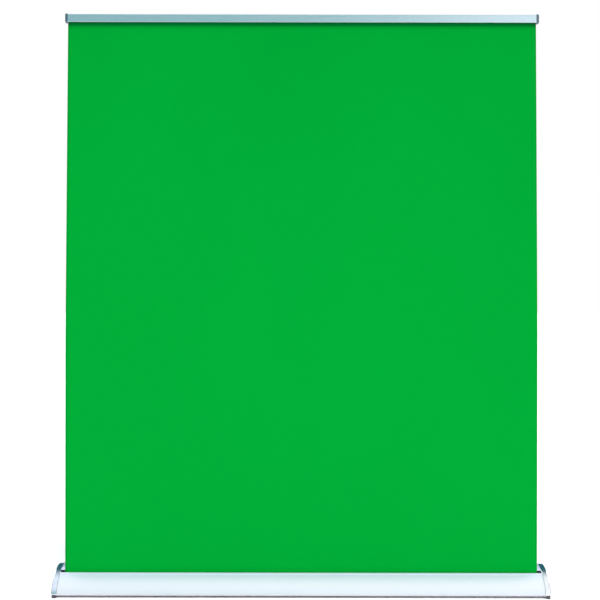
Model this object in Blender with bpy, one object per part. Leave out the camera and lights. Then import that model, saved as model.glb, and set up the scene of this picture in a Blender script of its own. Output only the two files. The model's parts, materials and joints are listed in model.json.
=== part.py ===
"""Roll-up backdrop stand: a green cloth drawn from a long floor base up to a rail on two telescopic poles.

Metres, +Z up, the cloth's front faces -Y, and the origin is on the floor under the middle of the base.
"""

import math

import bmesh
import bpy

# Driving dimensions of the base
OUTLINE_DEPTH = 0.135  # half depth of the curve that the outline follows
OUTLINE_HEIGHT = 0.0985
OUTLINE_POWER = 1.8  # 2 would be an ellipse
OUTLINE_FOOT = 0.017  # where the curve ends and the lower corner turns under
UNDERSIDE = 0.005
CORNER_REACH = 0.1215  # where the lower corner meets the flat underside
SHELL_END = 0.9245
CAP_INNER = 0.9248
CAP_OUTER = 0.945
RIM = 0.0025  # how far the caps stand proud of the shells
WALL = 0.002
GAP = 0.0003
FLANGE_END = 0.095  # the shells' bottom flanges reach in to this distance

# The slot and the cloth
CLOTH_Y = -0.0555
CLOTH_HALF = 0.908  # half width, from the roller up to the waist
CLOTH_TOP_HALF = 0.9005  # half width just under the rail's ends
CLOTH_TAB_HALF = 0.8990  # half width of the tab that enters the rail between its ends
CLOTH_WAIST = 1.000
CLOTH_THICK = 0.0006
SLOT_FRONT = -0.0635
SLOT_REAR = -0.0485
ROLL_RADIUS = 0.018
ROLLER_RADIUS = 0.016
ROLLER_Y = CLOTH_Y + CLOTH_THICK / 2 + GAP + ROLL_RADIUS
ROLLER_Z = 0.043

# The top rail
RAIL_BOTTOM = 2.194
RAIL_HEIGHT = 0.030
RAIL_DEPTH = 0.022
RAIL_WALL = 0.0015
RAIL_HALF = 0.8998
RAIL_SLOT = 0.0024
RAIL_CORNER = 0.0035
RAIL_TOP = RAIL_BOTTOM + RAIL_HEIGHT
RAIL_BACK = CLOTH_Y + RAIL_DEPTH / 2
HEM_ROD_RADIUS = 0.0032
HEM_ROD_Z = RAIL_BOTTOM + 0.0095
RAIL_END_OUTER = 0.9095
RAIL_END_DEPTH = 0.026
RAIL_END_LOW = 2.1912
RAIL_END_HEIGHT = 0.0356
RAIL_END_CORNER = 0.0055

# The poles
POLE_X = 0.500
POLE_Y = 0.006
POLE_RADII = (0.0125, 0.0110, 0.0095, 0.0080)
POLE_WALL = 0.0012
SECTION = 0.585
OVERLAP = 0.060
POLE_FOOT = 0.0150  # height of the lowest tube's foot
HEAD_TOP = 2.216
SPIGOT_RADIUS = 0.007
SPIGOT_CHAMFER = 0.001
BRACKET_LOW = 2.200
BRACKET_HIGH = 2.2215

# The feet
FOOT_X = 0.935
FOOT_Y = 0.1245
FOOT_RADIUS = 0.0083
PAD_THICK = 0.0115
RECESS_HEIGHT = 0.0125  # each foot is let into a round recess in the cap's lower corner
RECESS_CLEARANCE = 0.0005
STEM_RADIUS = 0.003
STEM_TOP = 0.021

# Screws that hold the end plates, one in each shell: distance from the middle along Y at the outline
SCREW_PLACES = {"front": -0.088, "rear": 0.075}
BOSS_INSET = 0.0085
BOSS_RADIUS = 0.005
BORE_RADIUS = 0.0018
SCREW_RADIUS = 0.0015
SCREW_HEAD = 0.0034
SCREW_HEAD_HIGH = 0.0024
SCREW_HEAD_SHOULDER = (0.94, 0.6)  # shares of the head's radius and height at its shoulder
SCREW_HEAD_TOP = 0.53  # share of the head's radius across its flat top

# Facets of a turned piece, and the angle between faces, in degrees, from which an edge is sharp
ROUND = 24
SMALL_ROUND = 12
SMOOTH_BELOW = 35

SIDES = (("left", -1), ("right", 1))


# ---------------------------------------------------------------- scene and materials


def clear_scene():
    for obj in list(bpy.data.objects):
        bpy.data.objects.remove(obj)


def material(name, colour, metallic, roughness):
    found = bpy.data.materials.get(name)
    if found:
        return found
    made = bpy.data.materials.new(name)
    made.use_nodes = True
    shader = made.node_tree.nodes["Principled BSDF"]
    shader.inputs["Base Color"].default_value = (*colour, 1.0)
    shader.inputs["Metallic"].default_value = metallic
    shader.inputs["Roughness"].default_value = roughness
    made.diffuse_color = (*colour, 1.0)
    return made


def aluminium():
    return material("anodised_aluminium", (0.66, 0.72, 0.76), 1.0, 0.32)


def chrome():
    return material("chrome_caps", (0.62, 0.68, 0.72), 1.0, 0.10)


def steel():
    return material("steel_parts", (0.55, 0.56, 0.58), 1.0, 0.35)


def black_plastic():
    return material("black_plastic", (0.02, 0.02, 0.022), 0.0, 0.45)


def dark_gloss():
    return material("dark_gloss_plastic", (0.10, 0.17, 0.21), 0.0, 0.15)


def rubber():
    return material("foot_rubber", (0.025, 0.025, 0.025), 0.0, 0.85)


def green_cloth():
    return material("chroma_cloth", (0.0, 0.434, 0.041), 0.0, 0.90)


# ---------------------------------------------------------------- building blocks


def finish(name, bm, made_of, origin=(0, 0, 0)):
    """Turns a bmesh in world coordinates into a smooth-shaded object with its origin at origin."""
    bmesh.ops.recalc_face_normals(bm, faces=bm.faces)
    bmesh.ops.translate(bm, verts=bm.verts, vec=[-c for c in origin])
    mesh = bpy.data.meshes.new(name)
    bm.to_mesh(mesh)
    bm.free()
    mesh.shade_smooth()
    mesh.set_sharp_from_angle(angle=math.radians(SMOOTH_BELOW))
    obj = bpy.data.objects.new(name, mesh)
    obj.location = origin
    bpy.context.scene.collection.objects.link(obj)
    if made_of:
        mesh.materials.append(made_of)
    return obj


def cut(obj, cutter, label, operation="DIFFERENCE"):
    cutter.hide_render = True
    cutter.display_type = "WIRE"
    modifier = obj.modifiers.new(label, "BOOLEAN")
    modifier.operation = operation
    modifier.object = cutter
    modifier.solver = "EXACT"


def bridge_rings(bm, rings):
    """Joins rings of equally many points into one skin, with a face across each end."""
    made = [[bm.verts.new(p) for p in ring] for ring in rings]
    count = len(made[0])
    for lower, upper in zip(made, made[1:]):
        for i in range(count):
            j = (i + 1) % count
            bm.faces.new((lower[i], lower[j], upper[j], upper[i]))
    bm.faces.new(made[0][::-1])
    bm.faces.new(made[-1])


def along_x(bm, outline, x_from, x_to):
    """A solid bar whose section is outline, a list of (y, z)."""
    rings = [[(x, y, z) for y, z in outline] for x in (x_from, x_to)]
    bridge_rings(bm, rings)


def block(bm, low, high):
    outline = [(low[1], low[2]), (high[1], low[2]), (high[1], high[2]), (low[1], high[2])]
    along_x(bm, outline, low[0], high[0])


def circle(radius, count):
    steps = [2 * math.pi * i / count for i in range(count)]
    return [(radius * math.cos(a), radius * math.sin(a)) for a in steps]


def place(axis, centre, across, height):
    """A point at across = (u, v) around the axis through centre, at height along that axis."""
    u, v = across
    if axis == "X":
        return (height, centre[0] + u, centre[1] + v)
    if axis == "Y":
        return (centre[0] + u, height, centre[1] + v)
    return (centre[0] + u, centre[1] + v, height)


def turned(bm, axis, centre, profile, count=ROUND, flute=None):
    """A turned solid. profile lists (radius, height); a closed loop of them makes a ring,
    and a profile that starts and ends at radius 0 makes a solid piece."""
    solid = profile[0][0] == 0
    stations = profile[1:-1] if solid else profile
    rings = []
    for radius, height in stations:
        ring = []
        for i, across in enumerate(circle(radius, count)):
            shrink = flute(i, radius, height) if flute else 1.0
            ring.append(bm.verts.new(place(axis, centre, [c * shrink for c in across], height)))
        rings.append(ring)
    pairs = list(zip(rings, rings[1:]))
    if not solid:
        pairs.append((rings[-1], rings[0]))
    for lower, upper in pairs:
        for i in range(count):
            j = (i + 1) % count
            bm.faces.new((lower[i], lower[j], upper[j], upper[i]))
    if solid:
        bm.faces.new(rings[0])
        bm.faces.new(rings[-1])


def ring_profile(inner, outer, low, high):
    return [(inner, low), (outer, low), (outer, high), (inner, high)]


def rod_profile(radius, low, high):
    return [(0, low), (radius, low), (radius, high), (0, high)]


def screw_profile(tip, seat, outward):
    """A button-head screw from its tip to the top of its head; outward is 1 or -1 along its axis."""
    rise = outward * SCREW_HEAD_HIGH
    return [
        (0, tip),
        (SCREW_RADIUS, tip),
        (SCREW_RADIUS, seat),
        (SCREW_HEAD, seat),
        (SCREW_HEAD * SCREW_HEAD_SHOULDER[0], seat + rise * SCREW_HEAD_SHOULDER[1]),
        (SCREW_HEAD * SCREW_HEAD_TOP, seat + rise),
        (0, seat + rise),
    ]


def turned_object(name, made_of, axis, centre, profile, count=ROUND, origin=(0, 0, 0), flute=None):
    bm = bmesh.new()
    turned(bm, axis, centre, profile, count, flute)
    return finish(name, bm, made_of, origin)


# ---------------------------------------------------------------- the base's outline


def foot_angle():
    share = (OUTLINE_FOOT / OUTLINE_HEIGHT) ** (OUTLINE_POWER / 2)
    return math.acos(share)


def curve_point(angle, inset):
    """The point of the upper curve at this angle from the crest, moved inward by inset; y is positive."""
    y = OUTLINE_DEPTH * math.sin(angle) ** (2 / OUTLINE_POWER)
    z = OUTLINE_HEIGHT * math.cos(angle) ** (2 / OUTLINE_POWER)
    normal_y = (y / OUTLINE_DEPTH) ** (OUTLINE_POWER - 1) / OUTLINE_DEPTH
    normal_z = (z / OUTLINE_HEIGHT) ** (OUTLINE_POWER - 1) / OUTLINE_HEIGHT
    size = math.hypot(normal_y, normal_z)
    return y - inset * normal_y / size, z - inset * normal_z / size


def angle_at(y, inset):
    """The angle from the crest at which the curve, moved inward by inset, is y away from the middle."""
    low, high = 0.0, foot_angle()
    for _ in range(50):
        middle = (low + high) / 2
        if curve_point(middle, inset)[0] < y:
            low = middle
        else:
            high = middle
    return low


CURVE_STEPS = 14
CORNER_STEPS = 5


def corner_points(inset):
    """The lower corner as a quarter turn from the curve's foot to the underside, moved inward by inset."""
    start_y, start_z = curve_point(foot_angle(), 0)
    reach_y, reach_z = start_y - CORNER_REACH, start_z - UNDERSIDE
    points = []
    for i in range(1, CORNER_STEPS + 1):
        a = math.pi / 2 * i / CORNER_STEPS
        y = CORNER_REACH + (reach_y - inset) * math.cos(a)
        z = start_z - (reach_z - inset) * math.sin(a)
        points.append((y, z))
    return points


def half_outline(inset, from_y=0.0):
    """Points from from_y, down the curve and round the lower corner; y is positive throughout."""
    start, end = angle_at(from_y, inset), foot_angle()
    angles = [start + (end - start) * i / CURVE_STEPS for i in range(CURVE_STEPS + 1)]
    curve = [curve_point(a, inset) for a in angles]
    curve[0] = (from_y, curve[0][1])
    return curve + corner_points(inset)


def whole_outline(inset):
    half = half_outline(inset)
    return [(-y, z) for y, z in half[::-1]] + half[1:]


def at_outline(y, inset):
    """The point inward by inset from where the outline is y from the middle; y may be negative."""
    found_y, found_z = curve_point(angle_at(abs(y), 0.0), inset)
    return math.copysign(found_y, y), found_z


def height_at(y, inset):
    """How high the curve, moved inward by inset, is at this distance from the middle."""
    return curve_point(angle_at(abs(y), inset), inset)[1]


# ---------------------------------------------------------------- base housing


BEAD_WIDTH = 0.009
BEAD_HEIGHT = 0.0010
GROOVE_WIDTH = 0.003
GROOVE_DEPTH = 0.0005
LIP_WIDTH = BEAD_WIDTH + GROOVE_WIDTH
BEAD_STEPS = 8


def bead_lift(distance):
    """How far the lip's rounded bead, and the groove below it, change the shell's outer face."""
    if distance < BEAD_WIDTH:
        across = 2 * distance / BEAD_WIDTH - 1
        return BEAD_HEIGHT * math.sqrt(max(0.0, 1 - across * across))
    if distance < BEAD_WIDTH + GROOVE_WIDTH:
        return -GROOVE_DEPTH * math.sin(math.pi * (distance - BEAD_WIDTH) / GROOVE_WIDTH)
    return 0.0


def lip_outline(lip_y, sign):
    """The outer face of a shell from its slot lip over the first stretch, bead and groove included."""
    bead = [BEAD_WIDTH * (1 - math.cos(math.pi * i / BEAD_STEPS)) / 2 for i in range(BEAD_STEPS + 1)]
    points = []
    for distance in bead + [BEAD_WIDTH + GROOVE_WIDTH / 2, LIP_WIDTH]:
        y = lip_y - sign * distance
        outer_y, outer_z = curve_point(angle_at(abs(y), RIM), RIM - bead_lift(distance))
        points.append((math.copysign(outer_y, y), outer_z))
    points[0] = (lip_y, points[0][1])
    return points


def front_shell_outline():
    lip = lip_outline(SLOT_FRONT, 1)
    outer = [(-y, z) for y, z in half_outline(RIM, LIP_WIDTH - SLOT_FRONT)]
    inner = [(-y, z) for y, z in half_outline(RIM + WALL, -SLOT_FRONT)]
    flange = [(-FLANGE_END, UNDERSIDE + RIM), (-FLANGE_END, UNDERSIDE + RIM + WALL)]
    return lip + outer[1:] + flange + inner[::-1]


MERGE_MARGIN = 0.002  # a point of the curve nearer than this to the lip is left out


def rear_shell_outline():
    """From the rear lip over the crest to the back flange, then back along the inside."""
    outer, inner = half_outline(RIM), half_outline(RIM + WALL)
    lip_end = -SLOT_REAR - LIP_WIDTH
    lip = lip_outline(SLOT_REAR, -1)
    outer_front = [(-y, z) for y, z in outer[1:] if y < lip_end - MERGE_MARGIN]
    inner_front = [(-y, z) for y, z in inner[1:] if y < -SLOT_REAR - MERGE_MARGIN]
    corner = (SLOT_REAR, height_at(SLOT_REAR, RIM + WALL))
    flange = [(FLANGE_END, UNDERSIDE + RIM), (FLANGE_END, UNDERSIDE + RIM + WALL)]
    return lip + outer_front[::-1] + outer + flange + inner[::-1] + inner_front + [corner]


def add_boss(shell, label):
    """A screw boss runs along the inside of a shell: a rod that joins the wall, with a bore through it."""
    rod, bore = bmesh.new(), bmesh.new()
    centre = at_outline(SCREW_PLACES[label], BOSS_INSET)
    turned(rod, "X", centre, rod_profile(BOSS_RADIUS, -SHELL_END, SHELL_END), SMALL_ROUND)
    turned(bore, "X", centre, rod_profile(BORE_RADIUS, -CAP_OUTER, CAP_OUTER), SMALL_ROUND)
    cut(shell, finish(label + "_boss_rod", rod, None), "boss", "UNION")
    cut(shell, finish(label + "_boss_bore", bore, None), "boss bore")


def front_shell():
    bm = bmesh.new()
    along_x(bm, front_shell_outline(), -SHELL_END, SHELL_END)
    shell = finish("front_shell", bm, aluminium())
    add_boss(shell, "front")


COLLAR_SLEEVE = 0.0167
HOLE_LOW = 0.065
HOLE_HIGH = 0.110


def rear_shell():
    bm = bmesh.new()
    along_x(bm, rear_shell_outline(), -SHELL_END, SHELL_END)
    shell = finish("rear_shell", bm, aluminium())
    add_boss(shell, "rear")
    holes = bmesh.new()
    for _, side in SIDES:
        profile = rod_profile(COLLAR_SLEEVE + GAP, HOLE_LOW, HOLE_HIGH)
        turned(holes, "Z", (side * POLE_X, POLE_Y), profile, ROUND)
    cut(shell, finish("pole_holes", holes, None), "pole holes")


PLATE_BOTTOM = UNDERSIDE + RIM + WALL + GAP
PLATE_THICK = 0.002
PLATE_HALF = 0.114


def base_plate():
    bm = bmesh.new()
    block(bm, (-SHELL_END, -PLATE_HALF, PLATE_BOTTOM), (SHELL_END, PLATE_HALF, PLATE_BOTTOM + PLATE_THICK))
    finish("base_plate", bm, steel())


GUARD_THICK = 0.0012
GUARD_HOOK = 0.0075  # how far the hook reaches under the shell
GUARD_BELOW = 0.0015  # how far the hook hangs below the shell's inner face
GUARD_FOOT = 0.0020  # how far the lining leg reaches below the hook


def slot_guard(name, lip, into_slot):
    """An L-shaped strip: one leg lines the lip, the other hooks in under the shell."""
    face = lip + into_slot * GAP
    inner = face + into_slot * GUARD_THICK
    hook_end = face - into_slot * GUARD_HOOK
    shell_inside = min(height_at(y, RIM + WALL) for y in (lip, hook_end))
    hook_top = shell_inside - GUARD_BELOW
    hook_low = hook_top - GUARD_BELOW
    foot, top = hook_low - GUARD_FOOT, height_at(lip, RIM) - 2 * GAP
    outline = [
        (inner, foot),
        (inner, top),
        (face, top),
        (face, hook_top),
        (hook_end, hook_top),
        (hook_end, hook_low),
        (face, hook_low),
        (face, foot),
    ]
    bm = bmesh.new()
    along_x(bm, outline, -SHELL_END + GAP, SHELL_END - GAP)
    finish(name, bm, black_plastic())


END_PLATE_THICK = 0.003
END_PLATE_INSET = 0.0032
END_PLATE_HALF = 0.0990
END_PLATE_BOTTOM = 0.0120
PANEL_STEPS = 10
RECESS_DEPTH = 0.0080
AXLE_BORE = 0.0070


def end_panel_outline(inset, half, bottom):
    """The base's outline moved inward, cut off straight at each side and below."""
    end = angle_at(half, inset)
    arc = [curve_point(end * i / PANEL_STEPS, inset) for i in range(PANEL_STEPS + 1)]
    right = arc + [(half, bottom)]
    return [(-y, z) for y, z in right[::-1]] + right[1:]


def end_plate(name, side):
    bm = bmesh.new()
    outline = end_panel_outline(END_PLATE_INSET, END_PLATE_HALF, END_PLATE_BOTTOM)
    inner = side * CAP_INNER
    along_x(bm, outline, inner, inner + side * END_PLATE_THICK)
    plate = finish(name, bm, steel())
    bores = bmesh.new()
    reach = sorted((inner - side * END_PLATE_THICK, inner + side * 2 * END_PLATE_THICK))
    for y in SCREW_PLACES.values():
        turned(bores, "X", at_outline(y, BOSS_INSET), rod_profile(BORE_RADIUS, *reach), SMALL_ROUND)
    turned(bores, "X", (ROLLER_Y, ROLLER_Z), rod_profile(AXLE_BORE, *reach), ROUND)
    cut(plate, finish(name + "_bores", bores, None), "bores")


PLATE_SCREW_DEPTH = 0.016  # how far the screws that hold the end plates reach into the bosses


def plate_screw(name, side, y):
    """A button-head screw through the end plate into a shell's boss."""
    seat = side * (CAP_INNER + END_PLATE_THICK + GAP)
    profile = screw_profile(side * (CAP_INNER - PLATE_SCREW_DEPTH), seat, side)
    turned_object(name, steel(), "X", at_outline(y, BOSS_INSET), profile, SMALL_ROUND)


CAP_ROUND = 0.0030
CAP_ROUND_STEPS = 3
BORE_PAST_STEM = 0.001


def end_cap(name, side):
    """A cap with a rounded outer edge, a recess for the end plate and stepped bores for the feet."""
    rings = [[(side * CAP_INNER, y, z) for y, z in whole_outline(0.0)]]
    for i in range(CAP_ROUND_STEPS + 1):
        a = math.pi / 2 * i / CAP_ROUND_STEPS
        x = CAP_OUTER - CAP_ROUND * (1 - math.sin(a))
        rings.append([(side * x, y, z) for y, z in whole_outline(CAP_ROUND * (1 - math.cos(a)))])
    bm = bmesh.new()
    bridge_rings(bm, rings)
    cap = finish(name, bm, chrome())
    recess = bmesh.new()
    outline = end_panel_outline(END_PLATE_INSET - GAP, END_PLATE_HALF + GAP, END_PLATE_BOTTOM - GAP)
    along_x(recess, outline, side * (CAP_INNER - END_PLATE_THICK), side * (CAP_INNER + RECESS_DEPTH))
    cut(cap, finish(name + "_recess", recess, None), "recess")
    bores = bmesh.new()
    for sign in (-1, 1):
        profile = [
            (0, 0.0),
            (FOOT_RADIUS + RECESS_CLEARANCE, 0.0),
            (FOOT_RADIUS + RECESS_CLEARANCE, RECESS_HEIGHT),
            (STEM_RADIUS + GAP, RECESS_HEIGHT),
            (STEM_RADIUS + GAP, STEM_TOP + BORE_PAST_STEM),
            (0, STEM_TOP + BORE_PAST_STEM),
        ]
        turned(bores, "Z", (side * FOOT_X, sign * FOOT_Y), profile, ROUND)
    cut(cap, finish(name + "_stem_bores", bores, None), "stem bores")


# ---------------------------------------------------------------- roller


ROLLER_AXIS = (ROLLER_Y, ROLLER_Z)
ROLLER_ORIGIN = (0.0, ROLLER_Y, ROLLER_Z)
TUBE_HALF = 0.914
TUBE_BORE = 0.0148
PLUG_RADIUS = TUBE_BORE - GAP
PLUG_DEPTH = 0.030  # how far the right plug reaches into the tube
PLUG_RIM = 0.0025
MANDREL_RADIUS = 0.006
AXLE_RADIUS = 0.004
AXLE_END = 0.9285
BUSH_RADIUS = 0.0067
BUSH_FLANGE = 0.0100
BUSH_INNER = 0.9220
BUSH_OUTER = 0.9290


def roller_tube():
    profile = ring_profile(TUBE_BORE, ROLLER_RADIUS, -TUBE_HALF, TUBE_HALF)
    turned_object("roller_tube", aluminium(), "X", ROLLER_AXIS, profile, ROUND, ROLLER_ORIGIN)


def fabric_roll():
    """The turns of cloth on the roller, as one ring of their outer radius."""
    profile = ring_profile(ROLLER_RADIUS + GAP, ROLL_RADIUS, -CLOTH_HALF, CLOTH_HALF)
    turned_object("fabric_roll", green_cloth(), "X", ROLLER_AXIS, profile, ROUND, ROLLER_ORIGIN)


def roller_plug_right():
    profile = [
        (0, TUBE_HALF - PLUG_DEPTH),
        (PLUG_RADIUS, TUBE_HALF - PLUG_DEPTH),
        (PLUG_RADIUS, TUBE_HALF + GAP),
        (ROLLER_RADIUS, TUBE_HALF + GAP),
        (ROLLER_RADIUS, TUBE_HALF + PLUG_RIM),
        (AXLE_RADIUS, TUBE_HALF + PLUG_RIM),
        (AXLE_RADIUS, AXLE_END),
        (0, AXLE_END),
    ]
    turned_object("roller_plug_right", black_plastic(), "X", ROLLER_AXIS, profile, ROUND, ROLLER_ORIGIN)


def roller_plug_left():
    bore, inner_end = MANDREL_RADIUS + GAP, -TUBE_HALF + PLUG_DEPTH * 2 / 3
    profile = [
        (bore, inner_end),
        (PLUG_RADIUS, inner_end),
        (PLUG_RADIUS, -TUBE_HALF - GAP),
        (ROLLER_RADIUS, -TUBE_HALF - GAP),
        (ROLLER_RADIUS, -TUBE_HALF - PLUG_RIM),
        (bore, -TUBE_HALF - PLUG_RIM),
    ]
    turned_object("roller_plug_left", black_plastic(), "X", ROLLER_AXIS, profile, ROUND, ROLLER_ORIGIN)


ANCHOR_FROM = -0.650
ANCHOR_TO = -0.630


def spring_anchor():
    profile = ring_profile(MANDREL_RADIUS + GAP, PLUG_RADIUS, ANCHOR_FROM, ANCHOR_TO)
    turned_object("spring_anchor", black_plastic(), "X", ROLLER_AXIS, profile, ROUND, ROLLER_ORIGIN)


def bearing_bush_right():
    bore = AXLE_RADIUS + GAP
    profile = [
        (bore, BUSH_INNER),
        (BUSH_FLANGE, BUSH_INNER),
        (BUSH_FLANGE, SHELL_END),
        (BUSH_RADIUS, SHELL_END),
        (BUSH_RADIUS, BUSH_OUTER),
        (bore, BUSH_OUTER),
    ]
    turned_object("bearing_bush_right", black_plastic(), "X", ROLLER_AXIS, profile, ROUND)


MANDREL_PAST_ANCHOR = 0.004


def spring_mandrel():
    tip = ANCHOR_TO + MANDREL_PAST_ANCHOR
    profile = [
        (0, -BUSH_OUTER),
        (BUSH_RADIUS, -BUSH_OUTER),
        (BUSH_RADIUS, -SHELL_END),
        (BUSH_FLANGE, -SHELL_END),
        (BUSH_FLANGE, -BUSH_INNER),
        (MANDREL_RADIUS, -BUSH_INNER),
        (MANDREL_RADIUS, tip),
        (0, tip),
    ]
    turned_object("spring_mandrel", steel(), "X", ROLLER_AXIS, profile, ROUND)


SPRING_RADIUS = 0.0100
SPRING_WIRE = 0.0010
SPRING_TURNS = 16
SPRING_STEPS = 8  # points in one turn
SPRING_SIDES = 4


def torsion_spring():
    """A coil of square wire, closed at both ends."""
    start = -TUBE_HALF + PLUG_DEPTH * 2 / 3 + 4 * SPRING_WIRE
    end = ANCHOR_FROM - GAP - SPRING_WIRE
    steps = SPRING_TURNS * SPRING_STEPS
    rings = []
    for i in range(steps + 1):
        a = 2 * math.pi * i / SPRING_STEPS
        x = start + (end - start) * i / steps
        ring = []
        for u, v in circle(SPRING_WIRE, SPRING_SIDES):
            radius = SPRING_RADIUS + u
            ring.append((x + v, ROLLER_Y + radius * math.cos(a), ROLLER_Z + radius * math.sin(a)))
        rings.append(ring)
    bm = bmesh.new()
    bridge_rings(bm, rings)
    finish("torsion_spring", bm, steel())


# ---------------------------------------------------------------- cloth


CLOTH_CUT = 0.0015  # the slanting cut from the cloth's side to its tab, and the gap above it


def backdrop_fabric():
    """One flat sheet from the roller to just under the hem rod, with a narrower tab inside the rail."""
    stations = (
        (ROLLER_Z, CLOTH_HALF),
        (CLOTH_WAIST, CLOTH_HALF),
        (RAIL_END_LOW - 2 * CLOTH_CUT, CLOTH_TOP_HALF),
        (RAIL_END_LOW - CLOTH_CUT, CLOTH_TAB_HALF),
        (HEM_ROD_Z - HEM_ROD_RADIUS - GAP, CLOTH_TAB_HALF),
    )
    front, back = CLOTH_Y - CLOTH_THICK / 2, CLOTH_Y + CLOTH_THICK / 2
    rings = []
    for z, half in stations:
        rings.append([(-half, front, z), (half, front, z), (half, back, z), (-half, back, z)])
    bm = bmesh.new()
    bridge_rings(bm, rings)
    finish("backdrop_fabric", bm, green_cloth())


# ---------------------------------------------------------------- top rail


def rounded_box(centre_y, low_z, depth, height, radius, steps=4):
    """A rectangle with rounded corners as (y, z) points, anticlockwise from the lower right."""
    corners = (
        (centre_y + depth / 2 - radius, low_z + radius, -90),
        (centre_y + depth / 2 - radius, low_z + height - radius, 0),
        (centre_y - depth / 2 + radius, low_z + height - radius, 90),
        (centre_y - depth / 2 + radius, low_z + radius, 180),
    )
    points = []
    for y, z, first in corners:
        for i in range(steps + 1):
            a = math.radians(first + 90 * i / steps)
            points.append((y + radius * math.cos(a), z + radius * math.sin(a)))
    return points


BRACKET_SCREW = 0.019  # from the pole's middle to the screw, along X
BRACKET_SCREW_Z = RAIL_BOTTOM + 0.0165


def rail_outline():
    """The rail's wall as one C that is open along the slot in its underside."""
    outer = rounded_box(CLOTH_Y, RAIL_BOTTOM, RAIL_DEPTH, RAIL_HEIGHT, RAIL_CORNER)
    depth, height = RAIL_DEPTH - 2 * RAIL_WALL, RAIL_HEIGHT - 2 * RAIL_WALL
    inner = rounded_box(CLOTH_Y, RAIL_BOTTOM + RAIL_WALL, depth, height, RAIL_CORNER - RAIL_WALL)
    right, left = CLOTH_Y + RAIL_SLOT / 2, CLOTH_Y - RAIL_SLOT / 2
    outside = [(right, RAIL_BOTTOM)] + outer + [(left, RAIL_BOTTOM)]
    inside = [(left, RAIL_BOTTOM + RAIL_WALL)] + inner[::-1] + [(right, RAIL_BOTTOM + RAIL_WALL)]
    return outside + inside


def top_rail():
    bm = bmesh.new()
    along_x(bm, rail_outline(), -RAIL_HALF, RAIL_HALF)
    rail = finish("top_rail", bm, aluminium())
    holes = bmesh.new()
    profile = rod_profile(BORE_RADIUS, RAIL_BACK - 2 * RAIL_WALL, RAIL_BACK + 2 * RAIL_WALL)
    for _, side in SIDES:
        for across in (-1, 1):
            centre = (side * POLE_X + across * BRACKET_SCREW, BRACKET_SCREW_Z)
            turned(holes, "Y", centre, profile, SMALL_ROUND)
    cut(rail, finish("rail_screw_holes", holes, None), "screw holes")


HEM_ROD_SHORT = 0.005  # how far the rod stops short of the rail's end


def hem_rod():
    half = RAIL_HALF - HEM_ROD_SHORT
    profile = rod_profile(HEM_ROD_RADIUS, -half, half)
    turned_object("hem_rod", steel(), "X", (CLOTH_Y, HEM_ROD_Z), profile, ROUND)


TONGUE_DEPTH = 0.017
TONGUE_LENGTH = 0.020
TONGUE_CORNER = 0.0015
# The rail end's rounded edge: how far in from the outer face, and the inset of the outline there
RAIL_END_ROUND = ((0.0030, 0.0), (0.0010, 0.0008), (0.0, 0.0024))


def rail_end(name, side):
    """A moulded end with a rounded outer face and a tongue inside the rail."""
    start = RAIL_HALF + GAP
    stations = [(start, 0.0)] + [(RAIL_END_OUTER - depth, inset) for depth, inset in RAIL_END_ROUND]
    rings = []
    for x, inset in stations:
        depth, height = RAIL_END_DEPTH - 2 * inset, RAIL_END_HEIGHT - 2 * inset
        outline = rounded_box(CLOTH_Y, RAIL_END_LOW + inset, depth, height, RAIL_END_CORNER - inset)
        rings.append([(side * x, y, z) for y, z in outline])
    bm = bmesh.new()
    bridge_rings(bm, rings)
    cap = finish(name, bm, dark_gloss())
    tongue = bmesh.new()
    tongue_z = HEM_ROD_Z + HEM_ROD_RADIUS + TONGUE_CORNER
    tongue_height = RAIL_TOP - RAIL_WALL - GAP - tongue_z
    outline = rounded_box(CLOTH_Y, tongue_z, TONGUE_DEPTH, tongue_height, TONGUE_CORNER, 2)
    along_x(tongue, outline, side * (RAIL_HALF - TONGUE_LENGTH), side * (start + TONGUE_CORNER))
    cut(cap, finish(name + "_tongue", tongue, None), "tongue", "UNION")


FLANGE_FACE = RAIL_BACK + GAP
FLANGE_THICK = 0.003
FLANGE_BACK = FLANGE_FACE + FLANGE_THICK
FLANGE_HALF = 0.025
FLANGE_LOW = 2.1965
FLANGE_HIGH = 2.2220
ARM_HALF = 0.0125
HUB_RADIUS = 0.015
HUB_PROUD = 0.0002  # how far the hub stands past the arm above and below
CUP_CLEARANCE = 0.0004


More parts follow.
